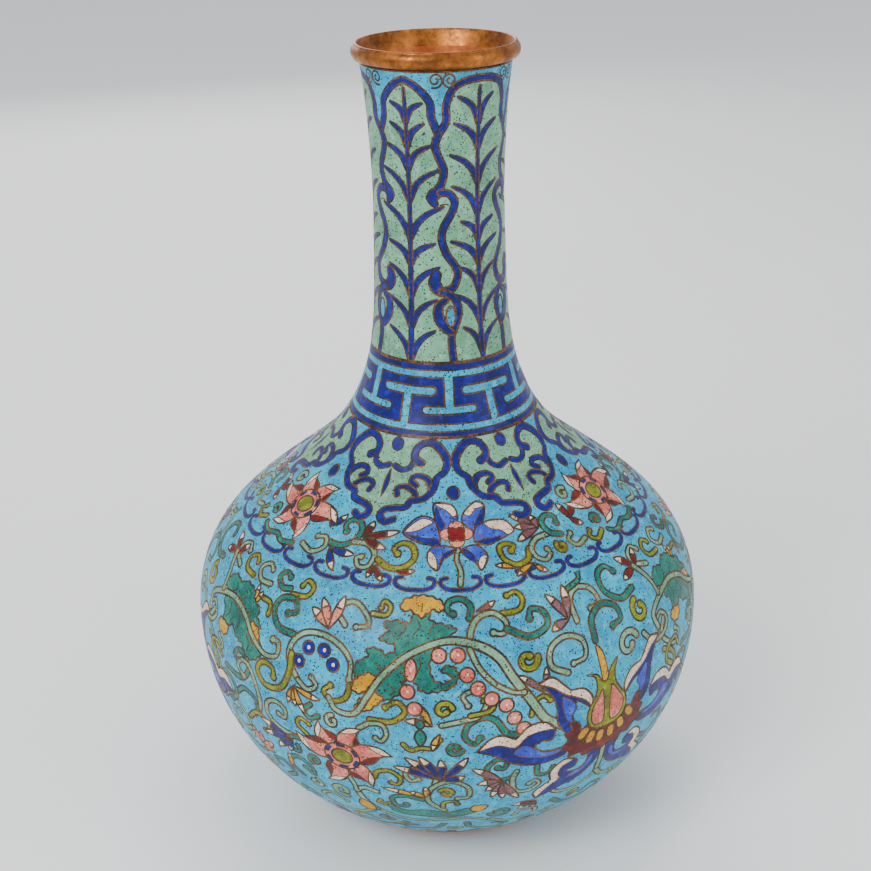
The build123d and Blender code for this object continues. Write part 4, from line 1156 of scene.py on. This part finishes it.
def foot_leaves(zone):
    """The wreath of pointed leaves, thin scrolls and dots above the foot."""
    radius = float(wall.radius(258)) * math.radians(1)
    for step in range(24):
        pen = zone.pen(7.5 + 15 * step, 0)
        inner = "olive" if step % 2 else "teal"
        leaf = joined([(0, 268.5), (-4.6 * radius, 262.4), (-3.4 * radius, 256.0), (0, 250.6)],
                      [(0, 250.6), (3.4 * radius, 256.0), (4.6 * radius, 262.4), (0, 268.5)])
        pen.cell(leaf, inner)
        core = joined([(0, 266.6), (-1.8 * radius, 261.6), (-1.2 * radius, 257.6), (0, 254.0)],
                      [(0, 254.0), (1.2 * radius, 257.6), (1.8 * radius, 261.6), (0, 266.6)])
        pen.cell(core, "yellow" if step % 2 else "celadon", 0.38)
        between = zone.pen(15 * step, 0)
        for side in (1, -1):
            between.strip(smooth([(0, 269.5), (side * 1.3 * radius, 264.4), (side * 3.2 * radius, 259.6),
                (side * 1.2 * radius, 257.4)]), 0.8, "red", 0.36)
        between.cell(circle(0, 253.6, 1.5), "red", 0.38)


def build_belly():
    zone = Zone("belly", SHOULDER_END, wall.s[-1] - 0.02, "sky")
    foot_leaves(zone)
    for points, colour, width in UPPER_VINES + MIDDLE_VINES + LOWER_VINES + FOOT_VINES:
        vine(zone, points, colour, width)
    spray_set(zone, (
        ((-27.3, 167), [(-32.9, 162.5), (-31, 159), (-25.5, 157)], "rose", "white", 3.2),
        ((6.9, 159), [(11.5, 156.6)], "mauve", "white", 2.0),
        ((28.1, 166), [(24.4, 157.5), (29.5, 156), (23.5, 168)], "mauve", "white", 3.0),
        ((53.1, 160.5), [(48.5, 155), (47.5, 162), (56.4, 155.4)], "red", "white", 2.9),
        ((-50.6, 169.0), [(-48.6, 164.0), (-50.8, 162.6)], "yellow", "white", 2.0),
        ((-33.9, 186.4), [(-35.6, 192.4), (-33.6, 192.8), (-31.4, 194.2), (-27.6, 188.4)], "yellow",
            "white", 2.3),
        ((-3.6, 191.8), [(-9.0, 190.4), (-7.0, 184.6)], "yellow", "white", 2.6),
        ((-2.0, 194.6), [(-3.6, 200.4)], "yellow", "white", 2.2),
        ((19.6, 184.4), [(14.4, 178.4), (20.6, 177.4)], "mauve", "white", 2.2),
        ((-2, 211.9), [(-11.9, 207.2), (-9.4, 203.5), (-6.5, 202.8), (-2.1, 203.8), (3.6, 203.3),
            (3, 210.8)], "cobalt", "white", 3.0),
        ((-36.0, 206.6), [(-45.2, 203.6), (-44.6, 208.4), (-41.0, 212.0), (-37.4, 211.8)], "cobalt",
            "white", 2.9),
        ((-48.2, 216.6), [(-50.6, 210.8), (-47.4, 211.0), (-43.4, 213.2), (-44.2, 217.6)], "rose", "rose",
            3.2),
        ((-39.4, 220.6), [(-38.6, 213.6)], "yellow", "white", 2.2),
        ((-5.8, 220.7), [(-15, 217.6), (-9.2, 218.4), (-5.6, 215.4)], "yellow", "white", 2.3),
        ((11.4, 214.6), [(4.5, 207.8), (5.7, 214.6), (7.6, 218.2), (9.1, 221.9), (11.8, 223.4),
            (15.6, 224.5)], "mauve", "white", 2.8),
        ((58.0, 207.0), [(54.0, 202.0), (57.4, 200.6), (61.6, 203.4)], "cobalt", "white", 2.8),
        ((66.0, 226.6), [(60.0, 226.0), (61.8, 230.6), (66.6, 232.0)], "rose", "white", 2.8),
        ((20.6, 229.4), [(14.6, 229.6), (16.6, 233.4), (21.0, 234.8)], "red", "white", 2.6),
        ((44.6, 233.6), [(48.6, 229.6), (43.4, 228.8)], "yellow", "white", 2.4),
        ((-30.0, 241.6), [(-35.6, 240.0), (-34.6, 244.8), (-30.0, 247.4)], "cobalt", "white", 2.6),
        ((60.0, 250.0), [(55.0, 246.4), (58.0, 245.2)], "mauve", "white", 2.3),
    ))
    cell(zone, [(-15, 226.4), (-11, 229.6), (-6, 228.6), (-1, 230.0), (4, 227.6), (6.0, 230.6),
        (0, 234.0), (-7, 233.6), (-13.6, 231.6)], "teal")
    cell(zone, [(-21.6, 226.6), (-19.4, 228.4), (-18.8, 232.6), (-21.4, 233.6), (-22.8, 230.0)], "yellow")
    cell(zone, [(5.2, 226.4), (8.6, 226.8), (7.0, 230.4), (4.6, 229.4)], "yellow")
    jagged(zone, CENTRE_LEAF, "teal", CENTRE_VEINS)
    jagged(zone, [(-10.8, 158.8), (-10.9, 156.2), (-9.0, 154.8), (-6.0, 154.0), (-3.0, 154.8),
        (-0.9, 156.4), (-1.4, 158.8), (-3.6, 158.2), (-6.0, 160.4), (-8.6, 158.6)], "yellow",
            ([(-6.0, 159.0), (-6.0, 156.4)],))
    jagged(zone, [(-19.2, 179.0), (-16.6, 177.2), (-15.2, 178.4), (-16.4, 181.0), (-18.4, 183.4),
        (-20.2, 182.4)], "yellow")
    jagged(zone, [(-17.8, 184.6), (-15.4, 182.6), (-13.6, 184.2), (-15.0, 186.4), (-17.0, 188.6),
        (-19.4, 188.2), (-18.8, 186.0)], "yellow")
    jagged(zone, SIDE_LEAF, "teal", SIDE_VEINS)
    jagged(zone, [(-49.0, 173.6), (-46.2, 174.4), (-45.2, 177.6), (-46.2, 179.6), (-48.4, 177.6)],
        "yellow")
    jagged(zone, [(-61.4, 179.6), (-59.0, 179.0), (-56.6, 180.2), (-57.8, 183.0), (-60.6, 182.6)],
        "yellow")
    vine(zone, [(-25.4, 186.6), (-23.6, 190.2), (-19.6, 190.0), (-16.8, 184.0), (-13.5, 177.0),
        (-7.9, 170.6), (-0.5, 167), (6, 168.4), (10.6, 172.4), (13.3, 178.6), (16.1, 184.6), (18, 189),
        (20.2, 193.4), (24.4, 197.4)], "celadon", 1.55, taper=1.9)
    vine(zone, [(4.6, 169.6), (6.4, 175.0), (9.4, 179.7), (13, 182.8), (15.4, 183.4)], "celadon", 1.4)
    vine(zone, [(-67.5, 180), (-68, 175.4), (-63.4, 172), (-56.9, 170.5), (-51.3, 173), (-47.7, 177),
        (-43, 180.5), (-39.3, 179.4), (-39.2, 175.6), (-41.0, 175.2)], "celadon", 1.8)
    vine(zone, [(-67.0, 160.0), (-64.4, 166.0), (-63.6, 171.0)], "celadon", 1.6)
    vine(zone, [(-22.9, 214.5), (-22.0, 218.0), (-21.8, 221.6)], "celadon", 1.6)
    for angle, s in ((-2, 171), (2, 171), (3.8, 176.6), (5.9, 180.7), (8.6, 184.1), (11.6, 186.5),
        (13.2, 190.9), (15.1, 194.8)):
        berry(zone, angle, s, 2.15, "rose", "white")
    berry(zone, -7.9, 175.2, 1.7, "rose", "white", 1.9)
    berry(zone, -8.5, 181.5, 2.15, "rose", "white")
    berry(zone, -7, 186.5, 2.15, "rose", "white")
    for angle, s in ((-31.2, 173.7), (-27.3, 173.3), (-33.1, 178.3), (-24.8, 176.8)):
        berry(zone, angle, s, 2.0, "cobalt", "white", 1.0, 0.26)
    cell(zone, [(-6.0, 189.8), (-5.0, 191.4), (-6.0, 193.0), (-7.0, 191.4)], "teal")
    cell(zone, [(-6.0, 193.0), (-4.8, 195.6), (-6.0, 199.0), (-7.2, 195.6)], "teal")
    small = petal_set([(-7.6, -10.8), (6, -12), (15.5, -4.1), (8.8, 10.8), (-5.8, 13), (-15.6, -3.6)],
        4.4, 6.6)
    for turn in THIRDS:
        lotus(zone, 35.3 + turn)
        flower(zone.pen(-23.4 + turn, 206.6), small, "rose", "white", "red", "olive", "cobalt",
            small=True)
    filler_curls(zone, 156.5, 249.5, 3.1, 5.4)
    for s in (zone.bottom - FOOT_RING / 2, WREATH_TO_FOOT):
        ring_line(zone, s, FOOT_RING)
    return zone


# ---------------------------------------------------------------- materials

class Nodes:
    """Small helper that adds shader nodes and links them."""

    def __init__(self, name):
        self.material = bpy.data.materials.new(name)
        self.material.use_nodes = True
        self.tree = self.material.node_tree
        self.tree.nodes.clear()
        self.out = self.add("ShaderNodeOutputMaterial")
        self.shader = self.add("ShaderNodeBsdfPrincipled")
        self.tree.links.new(self.shader.outputs[0], self.out.inputs[0])
        self.place = self.add("ShaderNodeTexCoord").outputs["Object"]

    def add(self, kind, **settings):
        node = self.tree.nodes.new(kind)
        for key, value in settings.items():
            setattr(node, key, value)
        return node

    def link(self, source, target):
        self.tree.links.new(source, target)

    def noise(self, scale, detail=3.0, roughness=0.55):
        node = self.add("ShaderNodeTexNoise")
        node.inputs["Scale"].default_value = scale
        node.inputs["Detail"].default_value = detail
        node.inputs["Roughness"].default_value = roughness
        self.link(self.place, node.inputs["Vector"])
        return node.outputs["Fac"]

    def specks(self, scale, size, soft):
        """1 inside small round specks, 0 elsewhere."""
        node = self.add("ShaderNodeTexVoronoi")
        node.inputs["Scale"].default_value = scale
        self.link(self.place, node.inputs["Vector"])
        return self.spread(node.outputs["Distance"], size, size - soft, 0.0, 1.0)

    def spread(self, value, low, high, out_low, out_high):
        node = self.add("ShaderNodeMapRange")
        node.inputs["From Min"].default_value = low
        node.inputs["From Max"].default_value = high
        node.inputs["To Min"].default_value = out_low
        node.inputs["To Max"].default_value = out_high
        self.link(value, node.inputs["Value"])
        return node.outputs["Result"]

    def dent(self, height, strength, depth):
        """Small relief from a height between 0 and 1, depth in metres."""
        node = self.add("ShaderNodeBump")
        node.inputs["Strength"].default_value = strength
        node.inputs["Distance"].default_value = depth
        self.link(height, node.inputs["Height"])
        self.link(node.outputs["Normal"], self.shader.inputs["Normal"])

    def times(self, a, b):
        node = self.add("ShaderNodeMath", operation="MULTIPLY")
        self.link(a, node.inputs[0])
        self.link(b, node.inputs[1])
        return node.outputs[0]

    def mix(self, factor, a, b):
        node = self.add("ShaderNodeMix", data_type="RGBA")
        self.link(factor, node.inputs["Factor"])
        for value, socket in ((a, node.inputs[6]), (b, node.inputs[7])):
            if isinstance(value, tuple):
                socket.default_value = value
            else:
                self.link(value, socket)
        return node.outputs[2]

    def set(self, **values):
        for key, value in values.items():
            self.shader.inputs[key.replace("_", " ")].default_value = value


def tone(red, green, blue):
    """A colour given as it looks on screen, 0 to 255, in the values the shader wants."""
    linear = [((c / 255 + 0.055) / 1.055) ** 2.4 if c > 10 else c / 255 / 12.92 for c in (red, green,
        blue)]
    return (*linear, 1.0)


def enamel(name, base, deep, light, pits=1.0, roughness=0.36):
    """Fired glass: mottled in depth, with a paler bloom, fine pits and a worn gloss."""
    n = Nodes(name)
    body = n.mix(n.spread(n.noise(95, 4.0, 0.6), 0.36, 0.66, 0, 1), deep, base)
    body = n.mix(n.spread(n.noise(420, 3.0), 0.52, 0.74, 0, 0.75), body, light)
    grain = n.spread(n.noise(1500, 2.0), 0.55, 0.72, 0, 0.3)
    body = n.mix(grain, body, deep)
    for density, size, low, high in ((430, 0.17, 0.42, 0.56), (860, 0.26, 0.36, 0.52),
        (1300, 0.28, 0.36, 0.5)):
        pit = n.times(n.specks(density, size, 0.08),
            n.spread(n.noise(density / 3, 2.0), low, high, 0, pits))
        body = n.mix(pit, body, tone(20, 24, 26))
    n.link(body, n.shader.inputs["Base Color"])
    n.link(n.spread(n.noise(260, 3.0), 0.35, 0.7, roughness, roughness + 0.16),
        n.shader.inputs["Roughness"])
    n.dent(n.noise(640, 3.0), 0.35, 0.00012)
    n.set(IOR=1.45, Specular_IOR_Level=0.32)
    return n.material


def worn_metal(name, bright, brown, dark, grime=0.5, roughness=0.34, metallic=0.75, fine=900):
    """Gilt or copper, worn bright on some stretches and dark with old wax in others."""
    n = Nodes(name)
    body = n.mix(n.spread(n.noise(170, 4.0, 0.65), 0.40, 0.64, 0, 1), brown, bright)
    body = n.mix(n.spread(n.noise(fine, 3.0, 0.6), 0.50, 0.62, 0, grime), body, dark)
    n.link(body, n.shader.inputs["Base Color"])
    n.link(n.spread(n.noise(380, 3.0), 0.3, 0.7, roughness, roughness + 0.22),
        n.shader.inputs["Roughness"])
    n.dent(n.noise(fine, 3.0), 0.3, 0.0001)
    n.set(Metallic=metallic)
    return n.material


COLOURS = {
    "sky": (tone(18, 172, 206), tone(2, 138, 178), tone(84, 204, 226)),
    "sage": (tone(118, 176, 142), tone(92, 150, 116), tone(152, 198, 166)),
    "cobalt": (tone(6, 14, 128), tone(2, 6, 80), tone(20, 38, 184)),
    "blue": (tone(46, 84, 206), tone(24, 52, 172), tone(92, 124, 220)),
    "white": (tone(236, 212, 190), tone(212, 182, 154), tone(248, 234, 218)),
    "rose": (tone(226, 136, 116), tone(194, 84, 72), tone(240, 176, 154)),
    "red": (tone(116, 10, 10), tone(68, 4, 6), tone(150, 30, 22)),
    "teal": (tone(0, 124, 108), tone(0, 84, 74), tone(14, 152, 130)),
    "olive": (tone(136, 146, 0), tone(94, 102, 0), tone(176, 180, 20)),
    "yellow": (tone(206, 156, 0), tone(176, 118, 0), tone(228, 180, 0)),
    "celadon": (tone(126, 168, 134), tone(92, 136, 102), tone(162, 194, 164)),
    "mauve": (tone(128, 84, 92), tone(94, 56, 66), tone(162, 124, 126)),
}
STANDS_FOR = {
    "neck_sky": ("neck_sky_enamel", "neck_drops"),
    "neck_sage": ("lappet_panels",),
    "neck_cobalt": ("lappet_arches", "lappet_dividers", "neck_leaf_sprays"),
    "neck_wire": ("neck_ring_cloisons",),
    "band_sky": ("band_sky_enamel",),
    "band_cobalt": ("band_upper_border", "key_fret", "band_lower_border"),
    "band_wire": ("band_ring_cloisons",),
    "shoulder_sky": ("shoulder_sky_enamel",),
    "shoulder_sage": ("ruyi_panels",),
    "shoulder_cobalt": ("ruyi_borders", "ruyi_inner_curls", "shoulder_dots", "scallop_border"),
    "shoulder_blue": ("blue_flower_petals",),
    "shoulder_rose": ("red_flower_petals",),
    "shoulder_olive": ("flower_centres",),
    "shoulder_celadon": ("shoulder_tendrils",),
    "belly_sky": ("belly_sky_enamel",),
    "belly_cobalt": ("lotus_petals", "blue_berries"),
    "belly_rose": ("pink_berries", "lotus_pods"),
    "belly_red": ("lotus_cups",),
    "belly_teal": ("vine_leaves",),
    "belly_yellow": ("leaf_tips",),
    "belly_celadon": ("scroll_stems",),
    "belly_wire_lower": ("foot_ring_cloison",),
}

finishes = {name: enamel(f"{name}_enamel", *tones) for name, tones in COLOURS.items()}
finishes["wire"] = worn_metal(
    "cloison_wire", tone(118, 80, 34), tone(52, 32, 14), tone(12, 8, 5), grime=0.9, roughness=0.4,
    metallic=0.35, fine=1400,
)
gilt = worn_metal(
    "gilt_bronze", tone(184, 112, 46), tone(124, 72, 30), tone(48, 27, 12), grime=0.35, roughness=0.3,
    metallic=0.85, fine=620,
)
copper = worn_metal(
    "raw_copper", tone(214, 122, 58), tone(178, 92, 40), tone(96, 48, 24), grime=0.3, roughness=0.42,
    metallic=0.6, fine=300,
)

# ---------------------------------------------------------------- put the pieces together

for zone in (build_neck(), build_band(), build_shoulder(), build_belly()):
    for colour, piece in zone.build():
        piece.data.materials.append(finishes[colour])
        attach(piece, "root")
        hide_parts(*STANDS_FOR.get(piece.name, ()))

for name in METAL_NODES:
    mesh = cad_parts[name].data
    mesh.materials.clear()
    mesh.materials.append(gilt if name in ("mouth_rim", "foot_ring") else copper)

# ---------------------------------------------------------------- floor, light and camera

bpy.ops.mesh.primitive_plane_add(size=40)
floor = bpy.context.object
floor.name = "floor"
ground = Nodes("pale_floor")
grain = ground.spread(ground.noise(2, 2.0), 0.3, 0.7, 0, 1)
ground.link(ground.mix(grain, tone(248, 248, 246), tone(252, 252, 251)),
    ground.shader.inputs["Base Color"])
ground.set(Roughness=0.6)
floor.data.materials.append(ground.material)

world = bpy.data.worlds.new("studio")
bpy.context.scene.world = world
world.use_nodes = True
world.node_tree.nodes["Background"].inputs["Color"].default_value = (0.93, 0.95, 1.0, 1)
world.node_tree.nodes["Background"].inputs["Strength"].default_value = 0.85


def lamp(name, place, target, size, power, colour=(1, 1, 1)):
    """A soft rectangular studio light aimed at a point."""
    light = bpy.data.lights.new(name, "AREA")
    light.shape = "RECTANGLE"
    light.size, light.size_y = size
    light.energy = power
    light.color = colour
    holder = bpy.data.objects.new(name, light)
    bpy.context.scene.collection.objects.link(holder)
    holder.location = place
    holder.rotation_euler = (Vector(target) - Vector(place)).to_track_quat("-Z", "Y").to_euler()


lamp("key", (-0.6, -0.8, 0.9), (0, 0, 0.13), (0.5, 0.5), 10)
lamp("fill", (0.95, -0.6, 0.55), (0, 0, 0.12), (0.6, 0.6), 3)
lamp("top", (0.1, 0.35, 1.3), (0, 0, 0.1), (0.6, 0.6), 3.5)
lamp("back", (-0.3, 1.1, 0.6), (0, 0, 0.12), (0.7, 0.7), 4)

LENS, SENSOR = 62.43, 36                 # millimetres
EYE = (0, -0.4364, 0.3113)               # metres
PAN, TILT, ROLL = 0.0059, math.radians(66.77), -0.0231
view = bpy.data.cameras.new("camera")
view.lens = LENS
view.sensor_width = SENSOR
view.clip_start = 0.01
camera = bpy.data.objects.new("camera", view)
bpy.context.scene.collection.objects.link(camera)
camera.matrix_world = (
    Matrix.Translation(EYE)
    @ Matrix.Rotation(PAN, 4, "Z")
    @ Matrix.Rotation(TILT, 4, "X")
    @ Matrix.Rotation(ROLL, 4, "Z")
)
bpy.context.scene.camera = camera
